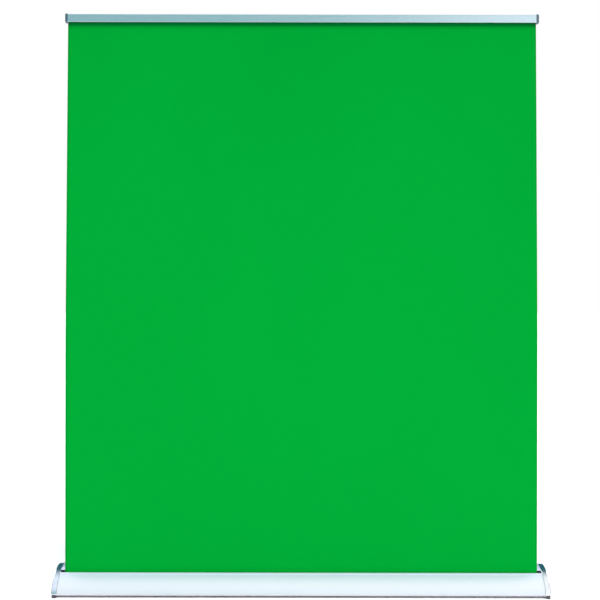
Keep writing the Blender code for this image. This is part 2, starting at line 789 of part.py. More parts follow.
def rail_bracket(name, side):
    """A flange on the rail's back with an arm to the pole, and a blind cup in the arm's underside.
    A screw holds the flange at its outer end and a peg in the rail's wall at its inner end."""
    centre = side * POLE_X
    bm = bmesh.new()
    low = (centre - FLANGE_HALF, FLANGE_FACE, FLANGE_LOW)
    block(bm, low, (centre + FLANGE_HALF, FLANGE_BACK, FLANGE_HIGH))
    bracket = finish(name, bm, black_plastic(), (centre, POLE_Y, BRACKET_LOW))
    overlap_y = FLANGE_FACE + FLANGE_THICK / 3
    arm = bmesh.new()
    block(arm, (centre - ARM_HALF, overlap_y, BRACKET_LOW), (centre + ARM_HALF, POLE_Y, BRACKET_HIGH))
    cut(bracket, finish(name + "_arm", arm, None), "arm", "UNION")
    hub = bmesh.new()
    profile = rod_profile(HUB_RADIUS, BRACKET_LOW - HUB_PROUD, BRACKET_HIGH + HUB_PROUD)
    turned(hub, "Z", (centre, POLE_Y), profile, ROUND)
    cut(bracket, finish(name + "_hub", hub, None), "hub", "UNION")
    holes = bmesh.new()
    profile = rod_profile(SPIGOT_RADIUS + CUP_CLEARANCE, BRACKET_LOW - HUB_RADIUS, HEAD_TOP + GAP)
    turned(holes, "Z", (centre, POLE_Y), profile, ROUND)
    profile = rod_profile(BORE_RADIUS, FLANGE_FACE - FLANGE_THICK, FLANGE_BACK + FLANGE_THICK)
    turned(holes, "Y", (centre + side * BRACKET_SCREW, BRACKET_SCREW_Z), profile, SMALL_ROUND)
    cut(bracket, finish(name + "_holes", holes, None), "holes")
    peg = bmesh.new()
    profile = rod_profile(BORE_RADIUS - GAP, RAIL_BACK - 2 * RAIL_WALL, overlap_y)
    turned(peg, "Y", (centre - side * BRACKET_SCREW, BRACKET_SCREW_Z), profile, SMALL_ROUND)
    cut(bracket, finish(name + "_peg", peg, None), "peg", "UNION")


def bracket_screw(name, side):
    profile = screw_profile(RAIL_BACK - 4 * RAIL_WALL, FLANGE_BACK + GAP, 1)
    centre = (side * (POLE_X + BRACKET_SCREW), BRACKET_SCREW_Z)
    turned_object(name, steel(), "Y", centre, profile, SMALL_ROUND)


# ---------------------------------------------------------------- poles


def pole_origin(side, z):
    return (side * POLE_X, POLE_Y, z)


def section_low(number):
    return POLE_FOOT + (number - 1) * (SECTION - OVERLAP)


def section_top(number):
    return section_low(number) + SECTION


SOCKET_FLANGE = 0.0220
SOCKET_RADIUS = 0.0155
SOCKET_TOP = 0.0590
SOCKET_EDGE = 0.0025  # thickness of the socket's foot flange at its edge
SOCKET_ROOT = 0.0040  # and where it meets the cup
COLLAR_FLANGE = 0.0200
COLLAR_SEAT = OUTLINE_HEIGHT - RIM + 0.001  # underside of the collar's flange, just over the shell's crest
# The collar's flange: in from its edge, and up from its seat
COLLAR_STEPS = ((0.0, 0.0), (0.0, 0.0025), (0.0015, 0.0045), (0.0050, 0.0060))
COLLAR_TOP = COLLAR_SEAT + COLLAR_STEPS[-1][1]


def pole_socket(name, side):
    """A cup on the base plate, flanged at its foot, that the lowest tube stands in."""
    floor = PLATE_BOTTOM + PLATE_THICK + GAP
    bore = POLE_RADII[0] + GAP
    profile = [
        (0, floor),
        (SOCKET_FLANGE, floor),
        (SOCKET_FLANGE, floor + SOCKET_EDGE),
        (SOCKET_RADIUS, floor + SOCKET_ROOT),
        (SOCKET_RADIUS, SOCKET_TOP),
        (bore, SOCKET_TOP),
        (bore, POLE_FOOT - GAP),
        (0, POLE_FOOT - GAP),
    ]
    origin = pole_origin(side, floor)
    turned_object(name, black_plastic(), "Z", (side * POLE_X, POLE_Y), profile, ROUND, origin)


def socket_collar(name, side):
    """The flanged sleeve that guides the pole where it leaves the rear shell."""
    bore, low = POLE_RADII[0] + GAP, SOCKET_TOP + GAP
    sleeve = [(bore, low), (COLLAR_SLEEVE, low), (COLLAR_SLEEVE, COLLAR_SEAT)]
    flange = [(COLLAR_FLANGE - inward, COLLAR_SEAT + rise) for inward, rise in COLLAR_STEPS]
    profile = sleeve + flange + [(bore, COLLAR_TOP)]
    origin = pole_origin(side, low)
    turned_object(name, black_plastic(), "Z", (side * POLE_X, POLE_Y), profile, ROUND, origin)


TUBE_CHAMFER = 0.0004


def pole_tube(name, side, number):
    outer = POLE_RADII[number - 1]
    low, top = section_low(number), section_top(number)
    profile = [
        (outer - POLE_WALL, low),
        (outer, low),
        (outer, top - TUBE_CHAMFER),
        (outer - TUBE_CHAMFER, top),
        (outer - POLE_WALL, top),
    ]
    origin = pole_origin(side, low)
    turned_object(name, aluminium(), "Z", (side * POLE_X, POLE_Y), profile, ROUND, origin)


LOCK_BELOW = 0.026
LOCK_ABOVE = 0.014
GRIP_WALL = 0.0055
NECK_WALL = 0.0035
LOCK_EDGE = 0.0015
LOCK_GRIP = (0.0020, 0.0030)  # where the ribs start, above the ring's foot
LOCK_COLLAR = 0.0020  # the plain band over the ribs
LOCK_FLARE = 0.0010
FLUTE_MARGIN = 0.0005
FLUTE_EVERY = 3
FLUTE_SHRINK = 0.955


def twist_lock(name, side, number):
    """A grip ring, stepped inside to fit the tube it sits on and the tube it clamps.
    Every third line of points on the grip is drawn in, which leaves eight wide ribs."""
    top = section_top(number)
    wide, narrow = POLE_RADII[number - 1] + GAP, POLE_RADII[number] + GAP
    low, high = top - LOCK_BELOW, top + LOCK_ABOVE
    outer = POLE_RADII[number - 1] + GRIP_WALL
    slim = POLE_RADII[number] + NECK_WALL
    profile = [
        (wide, low),
        (outer - LOCK_EDGE, low),
        (outer, low + LOCK_GRIP[0]),
        (outer, low + LOCK_GRIP[1]),
        (outer, top),
        (outer, top + LOCK_COLLAR),
        (slim + LOCK_FLARE, high - LOCK_EDGE),
        (slim, high),
        (narrow, high),
        (narrow, top + GAP),
        (wide, top + GAP),
    ]
    grip = (low + LOCK_GRIP[1] - FLUTE_MARGIN, top + FLUTE_MARGIN)

    def flute(i, radius, height):
        on_grip = grip[0] < height < grip[1] and radius > wide + GRIP_WALL / 2
        return FLUTE_SHRINK if i % FLUTE_EVERY == 0 and on_grip else 1.0

    origin = pole_origin(side, low)
    turned_object(name, black_plastic(), "Z", (side * POLE_X, POLE_Y), profile, ROUND, origin, flute)


HEAD_PLUG = 0.025
HEAD_RADIUS = 0.0120
HEAD_CHAMFER = (0.0015, 0.0020)  # at the head's foot: inward, upward
HEAD_STEP = (0.0010, 0.0015, 0.0005)  # its upper chamfer inward, and the chamfer's ends below the bracket


def pole_head(name, side):
    """A plug in the top tube with a shoulder under the bracket and a spigot into its cup."""
    top = section_top(4)
    plug = POLE_RADII[3] - POLE_WALL - GAP
    profile = [
        (0, top - HEAD_PLUG),
        (plug, top - HEAD_PLUG),
        (plug, top + GAP),
        (HEAD_RADIUS - HEAD_CHAMFER[0], top + GAP),
        (HEAD_RADIUS, top + HEAD_CHAMFER[1]),
        (HEAD_RADIUS, BRACKET_LOW - HEAD_STEP[1]),
        (HEAD_RADIUS - HEAD_STEP[0], BRACKET_LOW - HEAD_STEP[2]),
        (SPIGOT_RADIUS, BRACKET_LOW - HEAD_STEP[2]),
        (SPIGOT_RADIUS, HEAD_TOP - SPIGOT_CHAMFER),
        (SPIGOT_RADIUS - SPIGOT_CHAMFER, HEAD_TOP),
        (0, HEAD_TOP),
    ]
    origin = pole_origin(side, top)
    turned_object(name, black_plastic(), "Z", (side * POLE_X, POLE_Y), profile, ROUND, origin)


# ---------------------------------------------------------------- feet


PAD_CHAMFER = (0.0005, 0.0008)  # at the floor and at the top
STEM_FLANGE = FOOT_RADIUS - 0.0010
STEM_CHAMFER = (0.0006, 0.0010)  # at the stem's tip: inward, downward


def foot(label, x, y):
    pad = [
        (0, 0.0),
        (FOOT_RADIUS - PAD_CHAMFER[0], 0.0),
        (FOOT_RADIUS, PAD_CHAMFER[0]),
        (FOOT_RADIUS, PAD_THICK - PAD_CHAMFER[1]),
        (FOOT_RADIUS - PAD_CHAMFER[1], PAD_THICK),
        (0, PAD_THICK),
    ]
    turned_object("foot_pad_" + label, rubber(), "Z", (x, y), pad, ROUND, (x, y, 0.0))
    flange = PAD_THICK + GAP
    stem = [
        (0, flange),
        (STEM_FLANGE, flange),
        (STEM_FLANGE, RECESS_HEIGHT - GAP),
        (STEM_RADIUS, RECESS_HEIGHT - GAP),
        (STEM_RADIUS, STEM_TOP - STEM_CHAMFER[1]),
        (STEM_RADIUS - STEM_CHAMFER[0], STEM_TOP),
        (0, STEM_TOP),
    ]
    turned_object("foot_stem_" + label, steel(), "Z", (x, y), stem, ROUND, (x, y, flange))


# ---------------------------------------------------------------- the whole object


def base_housing():
    base_plate()
    front_shell()
    rear_shell()
    slot_guard("slot_guard_front", SLOT_FRONT, 1)
    slot_guard("slot_guard_rear", SLOT_REAR, -1)
    for name, side in SIDES:
        end_plate("end_plate_" + name, side)
        for end, y in SCREW_PLACES.items():
            plate_screw(f"plate_screw_{end}_{name}", side, y)
        end_cap("end_cap_" + name, side)


def roller():
    roller_tube()
    roller_plug_left()
    roller_plug_right()
    bearing_bush_right()
    spring_mandrel()
    spring_anchor()
    torsion_spring()
    fabric_roll()


def rail():
    top_rail()
    hem_rod()
    for name, side in SIDES:
        bracket_screw("bracket_screw_" + name, side)
        rail_end("rail_end_" + name, side)
        rail_bracket("rail_bracket_" + name, side)


def poles():
    for name, side in SIDES:
        pole_socket("pole_socket_" + name, side)
        socket_collar("socket_collar_" + name, side)
        for number in (1, 2, 3, 4):
            pole_tube(f"pole_tube_{number}_{name}", side, number)
        for number in (1, 2, 3):
            twist_lock(f"twist_lock_{number}_{name}", side, number)
        pole_head("pole_head_" + name, side)


def feet():
    for name, side in SIDES:
        foot("front_" + name, side * FOOT_X, -FOOT_Y)
        foot("rear_" + name, side * FOOT_X, FOOT_Y)


clear_scene()
base_housing()
roller()
backdrop_fabric()
rail()
poles()
feet()
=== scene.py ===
"""Looks of the roll-up backdrop stand: shells, chromed caps, woven cloth, poles and a plain studio."""

import json
import math

import bmesh
import bpy
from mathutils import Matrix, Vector


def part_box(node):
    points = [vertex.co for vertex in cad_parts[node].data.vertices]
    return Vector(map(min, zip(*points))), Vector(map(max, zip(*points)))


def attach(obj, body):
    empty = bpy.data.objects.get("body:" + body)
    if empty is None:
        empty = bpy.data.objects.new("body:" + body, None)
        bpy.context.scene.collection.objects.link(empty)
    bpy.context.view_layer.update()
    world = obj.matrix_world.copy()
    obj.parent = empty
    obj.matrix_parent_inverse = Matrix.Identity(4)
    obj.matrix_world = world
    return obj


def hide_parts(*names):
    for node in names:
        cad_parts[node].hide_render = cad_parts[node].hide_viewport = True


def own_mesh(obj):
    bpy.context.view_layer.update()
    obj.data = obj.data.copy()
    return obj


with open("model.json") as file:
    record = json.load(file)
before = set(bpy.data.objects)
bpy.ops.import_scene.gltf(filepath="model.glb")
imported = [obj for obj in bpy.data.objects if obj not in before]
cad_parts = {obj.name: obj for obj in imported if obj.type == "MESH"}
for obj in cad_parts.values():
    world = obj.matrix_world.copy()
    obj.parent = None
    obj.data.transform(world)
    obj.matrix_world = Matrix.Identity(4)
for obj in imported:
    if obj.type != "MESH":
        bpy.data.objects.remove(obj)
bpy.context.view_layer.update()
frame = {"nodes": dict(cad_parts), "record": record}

# -------------------- sizes, most of them from the frame

CAP_LOW, CAP_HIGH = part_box("end_cap_right")
CAP_INNER, CAP_OUTER = CAP_LOW.x, CAP_HIGH.x
OUTLINE_HEIGHT = CAP_HIGH.z
UNDERSIDE = CAP_LOW.z
OUTLINE_DEPTH = 0.135  # half depth of the curve that the base's outline follows
OUTLINE_POWER = 1.8
OUTLINE_FOOT = 0.017  # height at which the lower corner starts to turn under
CORNER_REACH = 0.1215
RIM = 0.0025  # how far the caps stand proud of the shells
WALL = 0.002
GAP = 0.0003
FLANGE_END = 0.095

FRONT_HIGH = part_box("front_shell")[1]
SHELL_END = FRONT_HIGH.x
SLOT_FRONT = FRONT_HIGH.y
SLOT_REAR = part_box("rear_shell")[0].y
BEAD_WIDTH = 0.009
BEAD_HEIGHT = 0.0010
GROOVE_WIDTH = 0.003
GROOVE_DEPTH = 0.0005
BEAD_STEPS = 18
GROOVE_STEPS = 6

CLOTH_LOW, CLOTH_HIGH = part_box("backdrop_fabric")
CLOTH_Y = (CLOTH_LOW.y + CLOTH_HIGH.y) / 2
CLOTH_THICK = CLOTH_HIGH.y - CLOTH_LOW.y
CLOTH_HALF = CLOTH_HIGH.x
CLOTH_TOP_HALF = 0.9005  # half width just under the rail's ends
CLOTH_TAB_HALF = 0.8990  # half width of the tab inside the rail
CLOTH_WAIST = 1.000  # height from which the cloth draws in
RAIL_LOW, RAIL_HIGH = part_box("top_rail")
RAIL_END_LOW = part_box("rail_end_right")[0].z

ROLL_LOW, ROLL_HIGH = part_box("fabric_roll")
ROLLER_Y = (ROLL_LOW.y + ROLL_HIGH.y) / 2
ROLLER_Z = (ROLL_LOW.z + ROLL_HIGH.z) / 2
ROLL_RADIUS = (ROLL_HIGH.z - ROLL_LOW.z) / 2

POLE_WALL = 0.0012
COLLAR_SLEEVE = 0.0167  # radius of the collar's sleeve
COLLAR_RISE = 0.0060  # from the collar flange's underside to the collar's top
SIDES = ("left", "right")
SIGNS = (-1, 1)  # the sides' directions along X
ENDS = ("front", "rear")
ROUND = 64  # points round a turned part
BORE_ROUND = 48


def centre_of(node):
    """The middle of a node's box, as (x, y)."""
    low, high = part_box(node)
    return ((low.x + high.x) / 2, (low.y + high.y) / 2)


def tube_radius(number, side, x):
    """The outer radius of a pole's tube; x is the pole's."""
    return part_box(f"pole_tube_{number}_{side}")[1].x - x


# -------------------- material building


def new_material(name, metallic=0.0, **fixed):
    """A Principled material. fixed holds the sockets that are the same all over, with _ for spaces."""
    made = bpy.data.materials.new(name)
    made.use_nodes = True
    shader = made.node_tree.nodes["Principled BSDF"]
    shader.inputs["Metallic"].default_value = metallic
    for socket, value in fixed.items():
        shader.inputs[socket.replace("_", " ")].default_value = value
    return made, made.node_tree, shader


def add_node(tree, kind, **settings):
    made = tree.nodes.new(kind)
    for name, value in settings.items():
        setattr(made, name, value)
    return made


def object_axes(tree, space="Object"):
    """The X, Y and Z sockets of these texture coordinates."""
    place = add_node(tree, "ShaderNodeTexCoord")
    axes = add_node(tree, "ShaderNodeSeparateXYZ")
    tree.links.new(place.outputs[space], axes.inputs["Vector"])
    return axes.outputs


def stretched_noise(tree, stretch, detail=3.0, roughness=0.55):
    """Noise in object space; a large number in stretch makes its grain fine along that axis."""
    place = add_node(tree, "ShaderNodeTexCoord")
    scale = add_node(tree, "ShaderNodeMapping")
    scale.inputs["Scale"].default_value = stretch
    noise = add_node(tree, "ShaderNodeTexNoise")
    noise.inputs["Scale"].default_value = 1.0
    noise.inputs["Detail"].default_value = detail
    noise.inputs["Roughness"].default_value = roughness
    tree.links.new(place.outputs["Object"], scale.inputs["Vector"])
    tree.links.new(scale.outputs["Vector"], noise.inputs["Vector"])
    return noise.outputs["Fac"]


def spread_to(tree, value, low, high, clip=(0.3, 0.7)):
    """value, remapped so that clip becomes low to high."""
    made = add_node(tree, "ShaderNodeMapRange")
    made.inputs["From Min"].default_value = clip[0]
    made.inputs["From Max"].default_value = clip[1]
    made.inputs["To Min"].default_value = low
    made.inputs["To Max"].default_value = high
    tree.links.new(value, made.inputs["Value"])
    return made.outputs["Result"]


def two_tones(tree, value, first, second, clip=(0.35, 0.65)):
    ramp = add_node(tree, "ShaderNodeValToRGB")
    ramp.color_ramp.elements[0].position = clip[0]
    ramp.color_ramp.elements[0].color = (*first, 1.0)
    ramp.color_ramp.elements[1].position = clip[1]
    ramp.color_ramp.elements[1].color = (*second, 1.0)
    tree.links.new(value, ramp.inputs["Fac"])
    return ramp.outputs["Color"]


def ramp_between(tree, value, low, high):
    """0 at low, 1 at high and smooth in between."""
    made = add_node(tree, "ShaderNodeMapRange", interpolation_type="SMOOTHSTEP")
    made.inputs["From Min"].default_value = low
    made.inputs["From Max"].default_value = high
    tree.links.new(value, made.inputs["Value"])
    return made.outputs["Result"]


def blend_colours(tree, factor, first, second):
    """first to second as factor goes from 0 to 1; either is a colour or a socket."""
    made = add_node(tree, "ShaderNodeMix", data_type="RGBA")
    tree.links.new(factor, made.inputs["Factor"])
    for socket, value in (("A", first), ("B", second)):
        found = [i for i in made.inputs if i.name == socket and i.type == "RGBA"][0]
        if isinstance(value, tuple):
            found.default_value = (*value, 1.0)
        else:
            tree.links.new(value, found)
    return [o for o in made.outputs if o.type == "RGBA"][0]


def bumped(tree, shader, height, strength, distance):
    bump = add_node(tree, "ShaderNodeBump")
    bump.inputs["Strength"].default_value = strength
    bump.inputs["Distance"].default_value = distance
    tree.links.new(height, bump.inputs["Height"])
    tree.links.new(bump.outputs["Normal"], shader.inputs["Normal"])


def uneven(tree, shader, pattern, dark, light, rough):
    """Tone and roughness that change with the same pattern."""
    tree.links.new(two_tones(tree, pattern, dark, light), shader.inputs["Base Color"])
    tree.links.new(spread_to(tree, pattern, *rough), shader.inputs["Roughness"])


def brushed_metal(name, dark, light, grain, rough, bump=0.10):
    """Metal with a fine grain along one axis, a little uneven in tone."""
    made, tree, shader = new_material(name, 1.0)
    fine = stretched_noise(tree, grain)
    cloud = stretched_noise(tree, (3.0, 3.0, 3.0), 2.0)
    tree.links.new(two_tones(tree, cloud, dark, light), shader.inputs["Base Color"])
    tree.links.new(spread_to(tree, fine, *rough), shader.inputs["Roughness"])
    bumped(tree, shader, fine, bump, 0.00005)
    return made


SKY_TINT_FROM, SKY_TINT_TO = 0.045, 0.085  # heights between which a painted reflection of the sky makes the silver coating bluer


def silver_coat(name, dark, light, crown_sky_tint):
    """Satin silver coating on metal: a soft sheen, fine grain along the length and faint smudges.
    Towards the
    crown the colour turns bluer: a painted reflection of the overhead sky."""
    made, tree, shader = new_material(name, 0.62, Specular_IOR_Level=0.4)
    fine = stretched_noise(tree, (4.0, 1400.0, 1400.0))
    smudge = stretched_noise(tree, (5.0, 9.0, 9.0), 4.0, 0.6)
    # painted reflection: the colour turns bluer towards the crown, as the overhead sky would show there
    sky_tint_share = ramp_between(tree, object_axes(tree)["Z"], SKY_TINT_FROM, SKY_TINT_TO)
    coated = blend_colours(tree, sky_tint_share, two_tones(tree, smudge, dark, light), crown_sky_tint)
    tree.links.new(coated, shader.inputs["Base Color"])
    tree.links.new(spread_to(tree, smudge, 0.44, 0.54), shader.inputs["Roughness"])
    bumped(tree, shader, fine, 0.06, 0.00005)
    return made


def chrome_plate():
    """Bright chrome with faint wiping marks."""
    made, tree, shader = new_material("chrome_plate", 1.0)
    smudge = stretched_noise(tree, (30.0, 30.0, 30.0), 5.0, 0.6)
    uneven(tree, shader, smudge, (0.84, 0.87, 0.89), (0.90, 0.92, 0.93), (0.12, 0.18))
    scratch = stretched_noise(tree, (2500.0, 60.0, 60.0), 2.0)
    bumped(tree, shader, scratch, 0.03, 0.00004)
    return made


def zinc_steel():
    made, tree, shader = new_material("zinc_steel", 1.0)
    spangle = stretched_noise(tree, (180.0, 180.0, 180.0), 2.0)
    uneven(tree, shader, spangle, (0.42, 0.43, 0.45), (0.60, 0.61, 0.62), (0.28, 0.46))
    bumped(tree, shader, spangle, 0.06, 0.0001)
    return made


def moulded_plastic(name, dark, light, rough, grain, bump, **fixed):
    """Moulded plastic: fine spark-eroded grain, with cloudy changes of gloss where hands have been."""
    made, tree, shader = new_material(name, 0.0, **fixed)
    fine = stretched_noise(tree, (grain, grain, grain), 3.0)
    handled = stretched_noise(tree, (22.0, 22.0, 22.0), 3.0)
    uneven(tree, shader, handled, dark, light, rough)
    bumped(tree, shader, fine, bump, 0.0001)
    return made


THREAD = 0.0009  # spacing of the cloth's threads


def wave_along(tree, coordinate):
    """A sine of this coordinate, one wave for two threads."""
    turns = add_node(tree, "ShaderNodeMath", operation="MULTIPLY")
    turns.inputs[1].default_value = math.pi / THREAD
    wave = add_node(tree, "ShaderNodeMath", operation="SINE")
    tree.links.new(coordinate, turns.inputs[0])
    tree.links.new(turns.outputs[0], wave.inputs[0])
    return wave.outputs[0]


def woven_cloth(name, dark, light):
    """Plain-weave polyester in chroma green: crossing threads, slubs and a slight change of dye."""
    made, tree, shader = new_material(
        name, 0.0, Specular_IOR_Level=0.02, Sheen_Weight=0.02, Sheen_Roughness=0.6
    )
    shader.inputs["Sheen Tint"].default_value = (0.02, 0.80, 0.25, 1.0)
    axes = object_axes(tree)
    weave = add_node(tree, "ShaderNodeMath", operation="MULTIPLY")
    tree.links.new(wave_along(tree, axes["X"]), weave.inputs[0])
    tree.links.new(wave_along(tree, axes["Z"]), weave.inputs[1])
    slubs = stretched_noise(tree, (35.0, 35.0, 900.0), 2.0)
    height = add_node(tree, "ShaderNodeMath", operation="MULTIPLY_ADD")
    height.inputs[1].default_value = 0.5
    tree.links.new(weave.outputs[0], height.inputs[0])
    tree.links.new(slubs, height.inputs[2])
    dye = stretched_noise(tree, (1.6, 1.6, 0.7), 2.0)
    tree.links.new(two_tones(tree, dye, dark, light), shader.inputs["Base Color"])
    tree.links.new(spread_to(tree, slubs, 0.86, 0.98), shader.inputs["Roughness"])
    bumped(tree, shader, height.outputs[0], 0.12, 0.0001)
    return made


CLOTH_DARK = (0.0, 0.278, 0.0245)
CLOTH_LIGHT = (0.0, 0.288, 0.0256)
RAIL_SHADOW_DARK = (0.0, 0.165, 0.0235)  # painted shadow: a darker green where the rail shades the cloth
RAIL_SHADOW_LIGHT = (0.0, 0.171, 0.0245)

MATERIALS = {
    "satin_aluminium": silver_coat(
        "satin_silver_coat", (0.78, 0.80, 0.82), (0.81, 0.82, 0.84), (0.77, 0.80, 0.96)
    ),
    "rail_aluminium": brushed_metal(
        "rail_aluminium", (0.66, 0.77, 0.78), (0.70, 0.80, 0.81), (4.0, 1400.0, 1400.0), (0.24, 0.34)
    ),
    "pole_aluminium": brushed_metal(
        "pole_aluminium", (0.66, 0.68, 0.70), (0.73, 0.75, 0.77), (1100.0, 1100.0, 6.0), (0.22, 0.36)
    ),
    "chrome": chrome_plate(),
    "steel": zinc_steel(),
    "black_plastic": moulded_plastic(
        "black_plastic", (0.012, 0.012, 0.013), (0.022, 0.022, 0.024), (0.38, 0.55), 2200.0, 0.25
    ),
    "dark_gloss": moulded_plastic(
        "dark_gloss", (0.055, 0.095, 0.115), (0.070, 0.115, 0.140), (0.10, 0.18), 900.0, 0.03,
        Coat_Weight=0.4, Coat_Roughness=0.06,
    ),
    "rubber": moulded_plastic(
        "rubber", (0.070, 0.062, 0.068), (0.100, 0.088, 0.096), (0.78, 0.95), 1500.0, 0.4
    ),
    "green_cloth": woven_cloth("woven_chroma_cloth", CLOTH_DARK, CLOTH_LIGHT),
    # a darker green for the painted shadow under the rail
    "green_rail_shadow": woven_cloth("woven_chroma_rail_shadow", RAIL_SHADOW_DARK, RAIL_SHADOW_LIGHT),
}


# -------------------- mesh building


def smooth(mesh, degrees=40):
    mesh.shade_smooth()
    mesh.set_sharp_from_angle(angle=math.radians(degrees))


def new_object(name, bm):
    """A mesh object made from bm."""
    bmesh.ops.recalc_face_normals(bm, faces=bm.faces)
    mesh = bpy.data.meshes.new(name)
    bm.to_mesh(mesh)
    bm.free()
    obj = bpy.data.objects.new(name, mesh)
    bpy.context.scene.collection.objects.link(obj)
    return obj


def cut(obj, bm, operation="DIFFERENCE"):
    """Cuts bm's shape out of obj, or joins it on with UNION."""
    cutter = new_object("cutter", bm)
    modifier = obj.modifiers.new("cut", "BOOLEAN")
    modifier.operation = operation
    modifier.object = cutter
    modifier.solver = "EXACT"
    graph = bpy.context.evaluated_depsgraph_get()
    result = bpy.data.meshes.new_from_object(obj.evaluated_get(graph))
    obj.modifiers.clear()
    obj.data = result
    bpy.data.objects.remove(cutter)


def piece(name, bm, slot, body, *nodes):
    """A finished mesh, made from bm and dressed."""
    obj = new_object(name, bm)
    return dress(obj, slot, body, *nodes)


def dress(obj, slot, body, *nodes):
    """Shading, material, body and slot for obj, which then stands for these CAD nodes."""
    smooth(obj.data)
    obj.data.materials.clear()
    obj.data.materials.append(MATERIALS[slot])
    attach(obj, body)
    if nodes:
        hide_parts(*nodes)
    return obj


def skin(rings, closed_loop=False):
    """Rings of equally many points, joined. The ends get a face each, unless the rings form a loop."""
    bm = bmesh.new()
    made = [[bm.verts.new(p) for p in ring] for ring in rings]
    count = len(made[0])
    pairs = list(zip(made, made[1:]))
    if closed_loop:
        pairs.append((made[-1], made[0]))
    for lower, upper in pairs:
        for i in range(count):
            j = (i + 1) % count
            bm.faces.new((lower[i], lower[j], upper[j], upper[i]))
    if not closed_loop:
        bm.faces.new(made[0][::-1])
        bm.faces.new(made[-1])
    return bm


CORNER_SHARE = 0.45  # how much of a side one rounded corner may take


def rounded(profile, radius, steps=3):
    """The same closed (r, z) loop with each corner cut back by radius, as a short arc."""
    out = []
    for i, here in enumerate(profile):
        before, after = Vector(profile[i - 1]), Vector(profile[(i + 1) % len(profile)])
        corner = Vector(here)
        sides = [(before - corner).length * CORNER_SHARE, (after - corner).length * CORNER_SHARE]
        reach = min(radius, *sides)
        start = corner + (before - corner).normalized() * reach
        end = corner + (after - corner).normalized() * reach
        for k in range(steps + 1):
            t = k / steps
            out.append(tuple((1 - t) ** 2 * start + 2 * t * (1 - t) * corner + t * t * end))
    return out


def round_angles(count):
    return [2 * math.pi * i / count for i in range(count)]


def turned(centre, profile, count=ROUND, shape=None):
    """A ring of the (r, z) loop turned about a vertical axis through centre."""
    rings = []
    for r, z in profile:
        ring = []
        for a in round_angles(count):
            own = r * (shape(a, r, z) if shape else 1.0)
            ring.append((centre[0] + own * math.cos(a), centre[1] + own * math.sin(a), z))
        rings.append(ring)
    return skin(rings, closed_loop=True)


def closed_turn(centre, profile, count=ROUND):
    """A solid turned about a vertical axis; profile runs from the foot's rim to the top's rim."""
    x, y = centre
    angles = round_angles(count)
    return skin([[(x + r * math.cos(a), y + r * math.sin(a), z) for a in angles] for r, z in profile])


def cylinder(start, end, radius, count=BORE_ROUND):
    """A plain rod between two points that differ along one axis only."""
    start, end = Vector(start), Vector(end)
    axes = [Vector(v) for v in ((1, 0, 0), (0, 1, 0), (0, 0, 1))]
    first, second = [v for v in axes if abs(v.dot(end - start)) < 1e-9]
    around = [math.cos(a) * first + math.sin(a) * second for a in round_angles(count)]
    return skin([[p + radius * direction for direction in around] for p in (start, end)])


# -------------------- the base's outline


BISECTIONS = 50
FOOT_ANGLE = math.acos((OUTLINE_FOOT / OUTLINE_HEIGHT) ** (OUTLINE_POWER / 2))


def curve_point(angle, inset):
    """A point of the upper curve, moved inward by inset; y is positive and angle is 0 at the crest."""
    y = OUTLINE_DEPTH * math.sin(angle) ** (2 / OUTLINE_POWER)
    z = OUTLINE_HEIGHT * math.cos(angle) ** (2 / OUTLINE_POWER)
    normal_y = (y / OUTLINE_DEPTH) ** (OUTLINE_POWER - 1) / OUTLINE_DEPTH
    normal_z = (z / OUTLINE_HEIGHT) ** (OUTLINE_POWER - 1) / OUTLINE_HEIGHT
    size = math.hypot(normal_y, normal_z)
    return y - inset * normal_y / size, z - inset * normal_z / size


def angle_at(y, inset):
    """The angle at which curve_point reaches y."""
    low, high = 0.0, FOOT_ANGLE
    for _ in range(BISECTIONS):
        middle = (low + high) / 2
        if curve_point(middle, inset)[0] < y:
            low = middle
        else:
            high = middle
    return low


def corner_points(inset, count=12):
    """The quarter ellipse where the curve turns under, down to the underside."""
    start_y, start_z = curve_point(FOOT_ANGLE, 0)
    reach_y, reach_z = start_y - CORNER_REACH, start_z - UNDERSIDE
    angles = [math.pi / 2 * i / count for i in range(1, count + 1)]
    return [
        (CORNER_REACH + (reach_y - inset) * math.cos(a), start_z - (reach_z - inset) * math.sin(a))
        for a in angles
    ]


OUTLINE_STEPS = 44


def half_outline(inset, from_y=0.0, steps=OUTLINE_STEPS):
    """The base's outline on the side of positive y, from from_y to the underside."""
    start = angle_at(from_y, inset)
    angles = [start + (FOOT_ANGLE - start) * i / steps for i in range(steps + 1)]
    points = [curve_point(a, inset) for a in angles]
    points[0] = (from_y, points[0][1])
    return points + corner_points(inset)


def whole_outline(inset):
    half = half_outline(inset)
    return [(-y, z) for y, z in half[::-1]] + half[1:]


# -------------------- shells and caps


def bead_lift(distance):
    """How far the slot lip's rounded bead, and the groove beside it, change the outer face."""
    if distance < BEAD_WIDTH:
        across = 2 * distance / BEAD_WIDTH - 1
        return BEAD_HEIGHT * math.sqrt(max(0.0, 1 - across * across))
    if distance < BEAD_WIDTH + GROOVE_WIDTH:
        return -GROOVE_DEPTH * math.sin(math.pi * (distance - BEAD_WIDTH) / GROOVE_WIDTH)
    return 0.0


def lip_points(lip_y, away):
    """The outer face from the slot's edge over bead and groove; away is y's direction from the slot."""
    bead = [BEAD_WIDTH * (1 - math.cos(math.pi * i / BEAD_STEPS)) / 2 for i in range(BEAD_STEPS + 1)]
    groove = [BEAD_WIDTH + GROOVE_WIDTH * i / GROOVE_STEPS for i in range(1, GROOVE_STEPS + 1)]
    points = []
    for distance in bead + groove:
        y = lip_y + away * distance
        found_y, z = curve_point(angle_at(abs(y), RIM), RIM - bead_lift(distance))
        points.append((math.copysign(found_y, y), z))
    points[0] = (lip_y, points[0][1])
    return points


